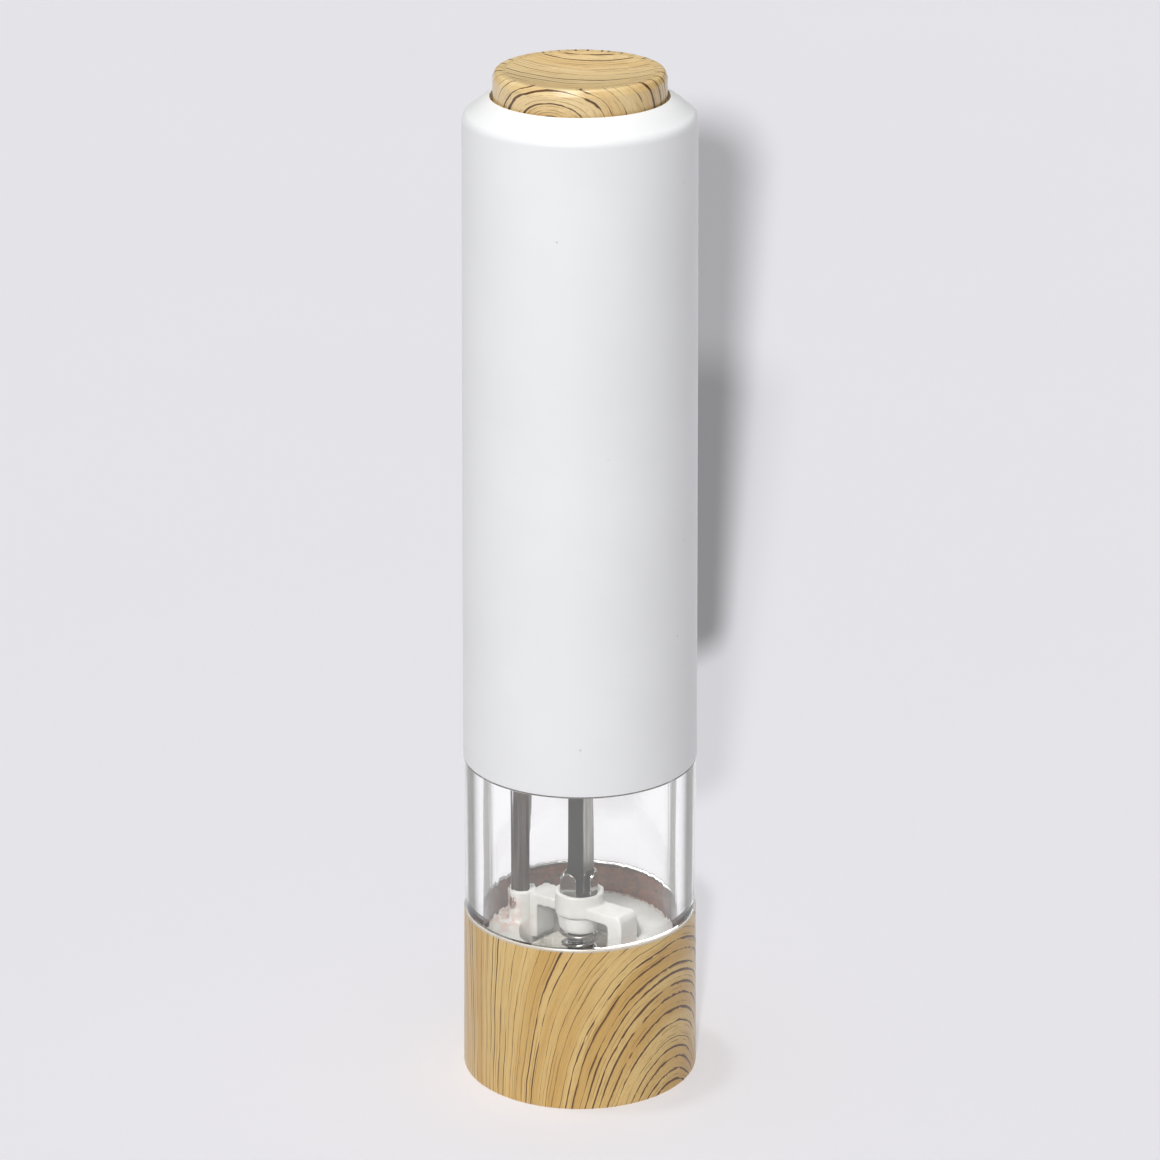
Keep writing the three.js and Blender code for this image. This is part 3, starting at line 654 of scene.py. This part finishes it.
def ceramic():
    """Off-white fired ceramic, faintly speckled."""
    net = Net("burr_ceramic")
    grain = net.noise(2.6, 5.0, 0.65)
    specks = net.specks(1.6, 0.2)
    tone = net.mix(net.fade(grain, 0.35, 0.65), srgb(240, 237, 230), srgb(224, 219, 208))
    tone = net.mix(specks * 0.4, tone, srgb(150, 138, 122))
    return net.surface(Base_Color=tone, Roughness=0.5 + grain * 0.15, Normal=net.bump(grain, 0.02))


def dark_plastic():
    """Black grained plastic with paler worn spots."""
    net = Net("dark_plastic")
    grain = net.noise(4.0, 4.0, 0.6)
    wear = net.noise(0.5, 4.0, 0.6)
    tone = net.mix(net.fade(wear, 0.5, 0.75), srgb(38, 38, 40), srgb(66, 65, 66))
    return net.surface(Base_Color=tone, Roughness=0.42 + grain * 0.16, Normal=net.bump(grain, 0.03))


def natural_nylon():
    """Cream gear plastic with a waxy sheen."""
    net = Net("gear_nylon")
    grain = net.noise(2.0, 4.0, 0.6)
    tone = net.mix(net.fade(grain, 0.35, 0.65), srgb(233, 226, 204), srgb(216, 206, 180))
    return net.surface(Base_Color=tone, Roughness=0.4 + grain * 0.12, Normal=net.bump(grain, 0.01))


def cell_skin(index, upright):
    """Plain two-tone battery wrap: a copper band at the plus end, dark grey below, with a wrap seam."""
    net = Net("cell_skin_%d" % index)
    low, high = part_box("battery_cell_%d" % index)
    start, end = (low.z / MM, high.z / MM) if upright else (high.z / MM, low.z / MM)
    span = (net.z - start) / (end - start)
    grain = net.noise(1.4, 4.0, 0.6)
    copper = net.mix(grain, srgb(190, 126, 74), srgb(166, 104, 58))
    grey = net.mix(grain, srgb(44, 46, 50), srgb(62, 64, 68))
    tone = net.mix(net.fade(span, 0.68, 0.684), grey, copper)
    line = net.fade(net.math("ABSOLUTE", span - 0.668), 0.006, 0.003)
    tone = net.mix(line, tone, srgb(212, 208, 198))
    return net.surface(Base_Color=tone, Metallic=0.35, Roughness=0.3 + grain * 0.1,
                       Normal=net.bump(grain, 0.01))


def clear_lens():
    """Small frosted lamp lens."""
    net = Net("lamp_lens")
    grain = net.noise(3.0, 3.0)
    tone = net.mix(grain, srgb(248, 246, 236), srgb(226, 224, 212))
    return net.surface(Base_Color=tone, Roughness=0.15 + grain * 0.2, Transmission_Weight=0.5, IOR=1.5)


def pale_floor():
    """Plain pale floor with the faintest unevenness."""
    net = Net("pale_floor")
    cloud = net.noise(0.004, 2.0)
    tone = net.mix(cloud, srgb(236, 235, 240), srgb(234, 233, 238))
    return net.surface(Base_Color=tone, Roughness=0.9, Specular_IOR_Level=0.0)


BASE_WOOD = base_wood()
CAP_WOOD = cap_wood()
SLEEVE_WHITE = sleeve_white()
FLOOR_WHITE = moulded_white("chamber_white", (228, 228, 225), (212, 211, 206), residue_and_shade=True)
PLAIN_WHITE = moulded_white("plain_white")
INNER_WHITE = moulded_white("inner_white", (231, 231, 228), (222, 221, 217))
CLEAR = clear_plastic()
SHAFT_STEEL = metal("shaft_steel", (164, 163, 156), (128, 127, 121), 0.2, painted_face_shade=True)
BRIGHT_STEEL = metal("bright_steel", (214, 213, 210), (176, 175, 172), 0.16, lengthways=False)
SPRING_STEEL = metal("spring_steel", (196, 193, 188), (146, 142, 136), 0.22, lengthways=False, stain=0.5)
CAN_STEEL = metal("can_steel", (206, 206, 204), (180, 180, 178), 0.32)
BRASS = metal("contact_brass", (218, 186, 124), (186, 150, 92), 0.3, lengthways=False)
LAMP_METAL = lamp_metal()
CERAMIC = ceramic()
DARK = dark_plastic()
NYLON = natural_nylon()
LENS = clear_lens()


# ---------------------------------------------------------------- pieces

def place(piece, material, body, slot, *nodes):
    """Gives a piece its material and its body, and hides the CAD nodes it stands for; slot is not used."""
    piece.data.materials.clear()
    piece.data.materials.append(material)
    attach(piece, body)
    if nodes:
        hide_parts(*nodes)
    return piece


def base_pieces():
    top = top_of("base_ring")
    ring = lathe("wood_ring", [
        (23.5, 0.0), (25.75, 0.0, 0.5), (25.4, top, 0.25), (23.5, top, 0.2),
        (23.5, 2.7), (22.2, 2.7, 0.2), (22.2, 0.9, 0.2), (23.5, 0.9),
    ])
    place(ring, BASE_WOOD, "mill_base", "wood_print", "base_ring")

    wall_top = top_of("clear_chamber")
    wall = lathe("clear_wall", [
        (21.5, 30.2, 0.3), (23.2, 30.2, 0.3), (23.2, 37.9, 0.2), (25.2, 37.9, 0.2), (25.2, 73.2, 0.08),
        (22.9, 73.2, 0.2), (22.9, wall_top, 0.3), (21.5, wall_top, 0.3),
    ])
    cutters = []
    for angle in BAYONET_ANGLES:
        for start, end, low, high in ((-9.5, 39.5, 76.0, 78.4), (20.5, 39.5, 77.0, 82.0)):
            cutters.append(prism("cutter", sector(20.5, 24.0, angle + start, angle + end), low, high, 0.05))
    cut_away(wall, cutters)
    place(wall, CLEAR, "mill_base", "clear_plastic", "clear_chamber")


def floor_piece():
    """The chamber's floor: disc, funnel, bridge over the burrs, bearing ring and lamp socket, moulded as one."""
    top = top_of("chamber_floor")
    arm_top = top - 2.6
    parts = [lathe("disc", [
        (11.6, 27.0), (13.4, 32.0), (21.2, 32.0), (21.2, 29.9), (23.2, 29.9), (23.2, 27.9), (14.2, 27.9),
        (14.2, 5.2), (12.7, 5.2), (12.7, 8.8), (11.6, 8.8),
    ])]
    arm = bmesh.new()
    outline = rounded([
        (-13.1, 28.3), (-13.1, arm_top, 1.8), (13.1, arm_top, 1.8), (13.1, 28.3), (9.6, 28.3),
        (9.6, 36.4, 0.8), (-9.6, 36.4, 0.8), (-9.6, 28.3),
    ])
    half = 3.2
    c, s = math.cos(BRIDGE_ANGLE), math.sin(BRIDGE_ANGLE)
    stitch(arm, *([arm.verts.new((u * c - v * s, u * s + v * c, z)) for u, z in outline] for v in (-half, half)))
    parts.append(finish_mesh("arm", arm))
    parts.append(lathe("bearing", [(0, 36.4), (5.35, 36.4), (5.35, top), (0, top)], 96))
    parts.append(lathe("socket", [(0, 10), (3.2, 10), (3.2, 39.3), (0, 39.3)], 64, LAMP))
    for at in SCREWS:
        parts.append(lathe("boss", [(0, 5.2), (3, 5.2), (3, 28.5), (0, 28.5)], ROD_STEPS, at))
    piece = moulded("chamber_moulding", parts, 0.27, 3)
    cutters = [
        lathe("bore", [(0, 30), (3.9, 30), (3.9, top - 1.5), (4.5, top - 1.5), (4.5, 50), (0, 50)], 96),
        lathe("lamp_bore", [(0, 5), (2.4, 5), (2.4, 45), (0, 45)], 64, LAMP),
    ]
    for at in SCREWS:
        cutters.append(lathe("pilot", [(0, 4), (1.6, 4), (1.6, 15), (0, 15)], 32, at))
    cut_away(piece, cutters)
    place(piece, FLOOR_WHITE, "mill_base", "white_plastic", "chamber_floor")


def burr_pieces():
    bush = lathe("bush", [
        (3.1, 32.2), (3.7, 32.2, 0.2), (4.25, 32.6, 0.4), (4.45, 33.4, 0.5), (4.86, 36.1, 0.15), (3.6, 36.1),
        (3.6, 39.4), (3.1, 39.4),
    ], 96)
    place(bush, PLAIN_WHITE, "mill_base", "white_plastic", "bearing_bush")

    stator = bmesh.new()
    outline = rounded([
        (10.2, 9), (11.3, 9, 0.2), (11.3, 26.7, 0.25), (10.2, 26.7, 0.25), (9.6, 24), (9.2, 20), (9.3, 16), (10, 12),
    ])
    lathe_into(stator, outline, 192)

    def rib(radius, angle, height):
        if radius < 10.1 and height > 11.9:
            return max(0.0, math.cos(16 * (angle + (height - 12) * 0.012))) ** 2 * 0.6 - 0.15
        return 0.0

    carve(stator, rib)
    place(finish_mesh("ribbed_ring", stator, 60), CERAMIC, "mill_base", "ceramic", "stator_burr")

    rotor = bmesh.new()
    lathe_into(rotor, [(0, 9), (9.6, 9), (9.4, 10.2), (8.6, 12.4), (7.8, 14.5), (6.8, 19), (5.7, 24.2, 0.4),
                       (4.8, 24.2), (4.8, 22.6), (0, 22.6)], 144)

    def groove(radius, angle, height):
        if radius > 5.2 and height > 9.1:
            return max(0.0, math.cos(12 * (angle - (height - 9) * 0.03))) ** 2 * 0.55
        return 0.0

    carve(rotor, groove)
    piece = finish_mesh("grooved_cone", rotor, 60)
    side = 4.4
    cut_away(piece, [prism("square", rectangle(side, side), 8, 26, 0.05, SHAFT_ANGLE)])
    place(piece, CERAMIC, "rotor", "ceramic", "rotor_burr")

    spring = coil("burr_spring", 3.6, lambda f: 3.7 + 0.55 * max(0.0, f - 0.7) / 0.3, 23.2, 31.6, 0.37,
                  start=2.2, rests=0.6)
    place(spring, SPRING_STEEL, "rotor", "steel", "rotor_spring")

    knob = bmesh.new()
    lathe_into(knob, [(0, 1.2), (5.2, 1.2, 0.3), (6, 2, 0.3), (6, 6, 0.3), (3.4, 6), (3.4, 8.6, 0.2),
                      (2.1, 8.6), (2.1, 2.4), (0, 2.4)], 144)
    carve(knob, lambda radius, angle, height: max(0.0, math.cos(18 * angle)) ** 2 * 0.35 if radius > 4.6 else 0.0)
    place(finish_mesh("fluted_knob", knob, 60), DARK, "knob", "black_plastic", "adjuster_knob")

    cover = lathe("bottom_cover", [
        (11, 3, 0.2), (22.9, 3, 0.3), (22.9, 4.9), (12.3, 4.9), (12.3, 8.5, 0.2), (11, 8.5, 0.2),
    ])
    holes = [lathe("lens_hole", [(0, 2), (2.3, 2), (2.3, 6), (0, 6)], 48, LAMP)]
    for at in SCREWS:
        holes.append(lathe("screw_hole", [(0, 2), (1.6, 2), (1.6, 6), (0, 6)], 32, at))
    cut_away(cover, holes)
    place(cover, INNER_WHITE, "mill_base", "white_plastic", "underside_cover")

    for number, (a, at) in enumerate(zip(SCREW_ANGLES, SCREWS), 1):
        screw = lathe("screw_%d" % number, [
            (0, 1.5), (2.4, 1.5, 0.5), (2.4, 2.7, 0.1), (1.3, 2.7), (1.3, 13.4), (0.6, 14), (0, 14),
        ], ROD_STEPS, at)
        slots = [prism("slot", rectangle(3.0, 0.6), 1.0, 2.1, 0.05, a + turn, at) for turn in (0, math.pi / 2)]
        cut_away(screw, slots)
        place(screw, BRIGHT_STEEL, "mill_base", "steel", "cover_screw_%d" % number)


def shaft_pieces():
    top = top_of("drive_shaft")
    shaft = bmesh.new()
    prism_into(shaft, rectangle(4.2, 4.2), 9.3, top, SHAFT_ANGLE)
    bevelled(shaft, 0.22, 3)
    square = finish_mesh("square_bar", shaft)
    pin = lathe("pin", [(0, 3), (1.8, 3, 0.3), (1.8, 10), (0, 10)], ROD_STEPS)
    place(joined("drive_bar", [square, pin]), SHAFT_STEEL, "shaft", "steel", "drive_shaft")

    washer = lathe("steel_washer", [(3.1, 40.1), (4.2, 40.1, 0.1), (4.2, 40.5, 0.1), (3.1, 40.5, 0.1)], 72)
    place(washer, SHAFT_STEEL, "shaft", "steel", "shaft_washer")

    base = lathe("clip_base", [(3.0, 40.7), (4.2, 40.7, 0.15), (4.2, 41.1, 0.15), (3.0, 41.1, 0.1)], 72)
    petals = [base]
    for number in range(4):
        turn = SHAFT_ANGLE + number * math.pi / 2
        petal = bmesh.new()
        out, shift = 2.7, (1.1, -1.1)[number % 2]
        outline = [(shift - 1.75, 40.8), (shift + 1.75, 40.8)]
        outline += [(shift + 1.75 * math.cos(math.pi * k / 18), 44.25 + 1.75 * math.sin(math.pi * k / 18))
                    for k in range(19)]
        c, s = math.cos(turn), math.sin(turn)
        stitch(petal, *(
            [petal.verts.new((deep * c - u * s, deep * s + u * c, z)) for u, z in outline] for deep in (out, out + 0.45)
        ))
        bevelled(petal, 0.12, 3)
        petals.append(finish_mesh("petal", petal))
    place(joined("spring_clip", petals), BRIGHT_STEEL, "shaft", "steel", "shaft_clip")

    tube = lathe("lamp_tube_skin", [(1.75, 10), (2.25, 10), (2.25, 74, 0.15), (1.75, 74, 0.15)], 72, LAMP)
    place(tube, LAMP_METAL, "mill_base", "steel", "lamp_tube")
    bulb = lathe("lamp_dome", [(0, 5.4), (1.6, 5.4, 0.7), (1.6, 9.4), (0, 9.4)], ROD_STEPS, LAMP)
    place(bulb, LENS, "mill_base", "clear_plastic", "lamp_bulb")
    lens = lathe("lamp_window", rod_path(2.0, 3.1, 4.7, 0.2), ROD_STEPS, LAMP)
    place(lens, LENS, "mill_base", "clear_plastic", "lamp_lens")


def sleeve_pieces():
    low, high = bottom_of("sleeve"), top_of("sleeve")
    edge = [(22.1 + 2.3 * math.cos(a), 214.5 + 2.3 * math.sin(a))
            for a in (math.radians(55) * k / 10 for k in range(11))]
    slope = [(22.4, 217.1), (21.4, 217.95), (20.3, 218.75), (19.3, 219.35)]
    inner_arc = [(19.2 + 3.2 * math.sin(a), 214.5 + 3.2 * math.cos(a)) for a in
                 (math.pi / 2 * k / 10 for k in range(11))]
    shell = lathe("white_shell", [(23.35, low, 0.3), (25.35, low, 0.2)] + edge + slope
                  + [(18.58, high, 0.2), (18.58, high - 2.0, 0.1)] + inner_arc, 192, sharp=50)
    place(shell, SLEEVE_WHITE, "sleeve", "white_gloss", "sleeve")

    guide = lathe("guide_plate", [
        (3.6, 206.8, 0.1), (5.4, 206.8, 0.2), (5.4, 208), (21.9, 208, 0.2), (21.9, 210, 0.2), (3.6, 210, 0.2),
    ])
    place(guide, INNER_WHITE, "sleeve", "white_plastic", "button_guide")

    cap_top = top_of("button_cap")
    cap = lathe("wood_cap", [
        (0, cap_top - 1.8), (6, cap_top - 1.55), (12, cap_top - 0.8), (15.6, cap_top - 0.1, 1.6),
        (17.4, cap_top, 0.9), (18, cap_top - 1.5, 0.9), (18, 217.4, 0.2), (20.2, 217.4, 0.3), (20.2, 215.9, 0.3),
        (16.4, 215.9, 0.2), (16.4, 221.6, 0.4), (0, 221.6),
    ], 192, sharp=60)
    place(cap, CAP_WOOD, "button", "wood_print", "button_cap")
    stem = lathe("white_stem", [
        (0, 205.5), (2.6, 205.5, 0.2), (3.2, 206.1, 0.2), (3.2, 219.5, 0.4), (9, 219.5, 0.2), (9, 221.3, 0.2),
        (0, 221.3),
    ], 72)
    place(stem, INNER_WHITE, "button", "white_plastic", "button_stem")

    low, high = bottom_of("return_spring"), top_of("return_spring")
    spring = coil("button_spring", 4.2, lambda f: 5.5, low + 0.45, high - 0.45, 0.45)
    place(spring, SPRING_STEEL, "sleeve", "steel", "return_spring")
    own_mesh(spring)


def drive_pieces():
    base = lathe("bayonet_plate", [
        (4.8, 75.2, 0.2), (21.1, 75.2, 0.4), (21.1, 80.3), (22.4, 80.3, 0.2), (22.4, 84, 0.2), (20.4, 84),
        (20.4, 78, 0.4), (7.2, 78, 0.4), (7.2, 81.2, 0.2), (4.8, 81.2, 0.2),
    ])
    lugs = [
        prism("lug", sector(20.7, 22.5, angle - 7.5, angle + 7.5), 76.4, 78.0, 0.2) for angle in BAYONET_ANGLES
    ]
    place(joined("bayonet_base", [base] + lugs), INNER_WHITE, "drive_unit", "white_plastic", "motor_base")

    housing = lathe("motor_tube", [
        (20.6, 84.3), (22.4, 84.3, 0.2), (22.4, 137.2, 0.5), (3, 137.2, 0.2), (3, 135.2, 0.2), (20.6, 135.2),
    ])
    half = 24.4
    windows = [
        prism("window", sector(18, 25, angle - half, angle + half, 8), 104.1, 123.9, 1.0) for angle in WINDOW_ANGLES
    ]
    cut_away(housing, windows)
    place(housing, INNER_WHITE, "drive_unit", "white_plastic", "motor_housing")

    can = lathe("motor_shell", [
        (0, 93.9), (3.2, 93.9, 0.2), (3.2, 95.7), (13.85, 95.7, 0.6), (13.85, 132, 0.5), (12.6, 132),
        (12.6, 133, 0.3), (4, 133), (4, 134.1, 0.2), (0, 134.1),
    ])
    bore = [lathe("bore", [(0, 90), (1.3, 90), (1.3, 111), (0, 111)], 48)]
    cut_away(can, bore)
    place(can, CAN_STEEL, "drive_unit", "steel", "motor_can")

    plates = []
    for low, high in ((137.6, 139.6), (195.1, 197.1)):
        plates.append(lathe("plate", rod_path(20.6, low, high, 0.4)))
    plates.append(lathe("post", [(0, 139), (2.9, 139), (2.9, 196), (0, 196)], 72))
    for number in range(4):
        a = number * math.pi / 2
        at = (18.5 * math.cos(a), 18.5 * math.sin(a))
        plates.append(prism("rib", rectangle(3.6, 6.0), 139.0, 196.0, 0.5, a, at))
    place(joined("cell_holder", plates), PLAIN_WHITE, "drive_unit", "white_plastic", "battery_carrier")


def cell_pieces():
    for index, (x, y, way) in enumerate(CELLS, 1):
        name = "battery_cell_%d" % index
        low, high = bottom_of(name), top_of(name)
        profile = [(0.0, 0.0), (5.2, 0.0, 0.2), (5.3, 0.35), (6.7, 0.35), (7.25, 0.5, 0.5), (7.25, 49.0, 0.8),
                   (5.6, 49.1, 0.3), (5.5, 48.9), (2.75, 48.9), (2.75, 50.4, 0.4), (0.0, 50.5)]
        flipped = [(p[0], (low + p[1]) if way > 0 else (high - p[1])) + tuple(p[2:]) for p in profile]
        cell = lathe("cell_%d" % index, flipped, 72, (x, y))
        place(cell, cell_skin(index, way > 0), "drive_unit", "cell_skin", name)
        spring = "contact_spring_%d" % index
        low, high = bottom_of(spring), top_of(spring)
        wide, narrow = (4.4, 2.4) if way > 0 else (2.4, 4.4)
        wire = coil("cell_spring_%d" % index, 2.4, lambda f: wide + (narrow - wide) * f,
                    low + 0.32, high - 0.32, 0.32, (x, y), rests=0.3)
        place(wire, SPRING_STEEL, "drive_unit", "steel", spring)


def cad_looks():
    """Materials and softened edges for the CAD nodes that stay."""
    looks = {
        "planet_carrier": DARK, "lamp_contact_ring": BRASS, "ring_gear": NYLON, "gearbox_cover": DARK,
        "motor_terminal_1": BRASS, "motor_terminal_2": BRASS, "motor_pinion": BRASS, "motor_shaft": BRIGHT_STEEL,
        "planet_gear_1": NYLON, "planet_gear_2": NYLON, "planet_gear_3": NYLON,
        "contact_bottom_front": BRIGHT_STEEL, "contact_bottom_back": BRIGHT_STEEL,
        "contact_top_bridge": BRIGHT_STEEL, "contact_top_positive": BRIGHT_STEEL,
        "contact_top_negative": BRIGHT_STEEL, "switch_plate": INNER_WHITE, "switch_leaf": BRASS,
        "switch_contact": BRASS,
    }
    for name, material in looks.items():
        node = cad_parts[name]
        for slot in node.material_slots:
            slot.material = material
        soften = node.modifiers.new("edges", "BEVEL")
        soften.width = 0.08 * MM
        soften.segments = 2
        soften.limit_method = "ANGLE"
        soften.angle_limit = math.radians(40)


base_pieces()
floor_piece()
burr_pieces()
shaft_pieces()
sleeve_pieces()
drive_pieces()
cell_pieces()
cad_looks()


# ---------------------------------------------------------------- floor and light

floor_bm = bmesh.new()
bmesh.ops.create_grid(floor_bm, x_segments=8, y_segments=8, size=4000)
floor = finish_mesh("floor", floor_bm)
floor.modifiers.clear()
floor.data.materials.append(pale_floor())


def aim(light, azimuth, elevation, distance):
    """Puts a light round the object; azimuth 0 is on the camera's side, positive to its right."""
    a, e = math.radians(azimuth), math.radians(elevation)
    target = Vector((0, 0, 0.11))
    direction = Vector((math.sin(a) * math.cos(e), -math.cos(a) * math.cos(e), math.sin(e)))
    light.location = target + direction * distance
    light.rotation_euler = (-direction).to_track_quat("-Z", "Y").to_euler()


def lamp(name, kind, energy, size, azimuth, elevation, distance, receivers, blockers):
    data = bpy.data.lights.new(name, kind)
    data.energy = energy
    if kind == "SUN":
        data.angle = size
    else:
        data.shape = "DISK"
        data.size = size
    light = bpy.data.objects.new(name, data)
    bpy.context.scene.collection.objects.link(light)
    aim(light, azimuth, elevation, distance)
    light.light_linking.receiver_collection = receivers
    light.light_linking.blocker_collection = blockers
    return light


floor_only = bpy.data.collections.new("floor_only")
floor_only.objects.link(floor)
not_floor = bpy.data.collections.new("not_floor")
not_floor.objects.link(floor)
not_floor.collection_objects[0].light_linking.link_state = "EXCLUDE"



def group(name, *pieces):
    """A collection of pieces, for the shadows of one light."""
    made = bpy.data.collections.new(name)
    for piece in pieces:
        made.objects.link(bpy.data.objects[piece])
    return made


upper_casters = group("upper_casters", "white_shell", "wood_cap")
lower_casters = group("lower_casters", "white_shell", "wood_ring")
ring_only = group("ring_only", "wood_ring")
not_clear = bpy.data.collections.new("not_clear")
not_clear.objects.link(bpy.data.objects["clear_wall"])
not_clear.collection_objects[0].light_linking.link_state = "EXCLUDE"

lamp("low_sun", "SUN", 5.4, math.radians(1.6), -3.2, 15.6, 3.0, floor_only, upper_casters)
lamp("mid_sun", "SUN", 1.2, math.radians(2.6), -4.5, 24.0, 3.0, floor_only, lower_casters)
lamp("high_sun", "SUN", 0.3, math.radians(8), -105, 76, 3.0, floor_only, ring_only)
lamp("key", "AREA", 13.4, 0.9, -18, 42, 1.6, not_floor, not_clear)
lamp("top", "AREA", 8.5, 0.7, 0, 80, 1.4, not_floor, not_clear)
lamp("back", "AREA", 3.6, 0.9, 168, 35, 1.6, not_floor, not_clear).visible_glossy = False

world = bpy.data.worlds.new("studio")
world.use_nodes = True
bpy.context.scene.world = world
tree = world.node_tree
tree.nodes.clear()


def world_node(kind, **settings):
    node = tree.nodes.new(kind)
    for key, value in settings.items():
        setattr(node, key, value)
    return node


# A studio dome: bright above and to the left, dim to the right; camera rays see plain pale paper.
place_of = world_node("ShaderNodeTexCoord")
split = world_node("ShaderNodeSeparateXYZ")
tree.links.new(place_of.outputs["Generated"], split.inputs[0])
sideways = world_node("ShaderNodeMapRange", interpolation_type="SMOOTHSTEP")
tree.links.new(split.outputs["X"], sideways.inputs["Value"])
for key, value in (("From Min", 0.05), ("From Max", 0.85), ("To Min", 0.12), ("To Max", 0.0)):
    sideways.inputs[key].default_value = value
upward = world_node("ShaderNodeMapRange", interpolation_type="SMOOTHSTEP")
tree.links.new(split.outputs["Z"], upward.inputs["Value"])
for key, value in (("From Min", 0.2), ("From Max", 1.0), ("To Min", 0.0), ("To Max", 0.22)):
    upward.inputs[key].default_value = value
total = world_node("ShaderNodeMath", operation="ADD")
tree.links.new(sideways.outputs[0], total.inputs[0])
tree.links.new(upward.outputs[0], total.inputs[1])
dome = world_node("ShaderNodeBackground")
dome.inputs["Color"].default_value = (1.0, 0.995, 0.985, 1.0)
tree.links.new(total.outputs[0], dome.inputs["Strength"])
paper = world_node("ShaderNodeBackground")
paper.inputs["Color"].default_value = srgb(227, 226, 231)
path = world_node("ShaderNodeLightPath")
choose = world_node("ShaderNodeMixShader")
tree.links.new(path.outputs["Is Camera Ray"], choose.inputs[0])
tree.links.new(dome.outputs[0], choose.inputs[1])
tree.links.new(paper.outputs[0], choose.inputs[2])
world_out = world_node("ShaderNodeOutputWorld")
tree.links.new(choose.outputs[0], world_out.inputs[0])

bpy.context.view_layer.update()
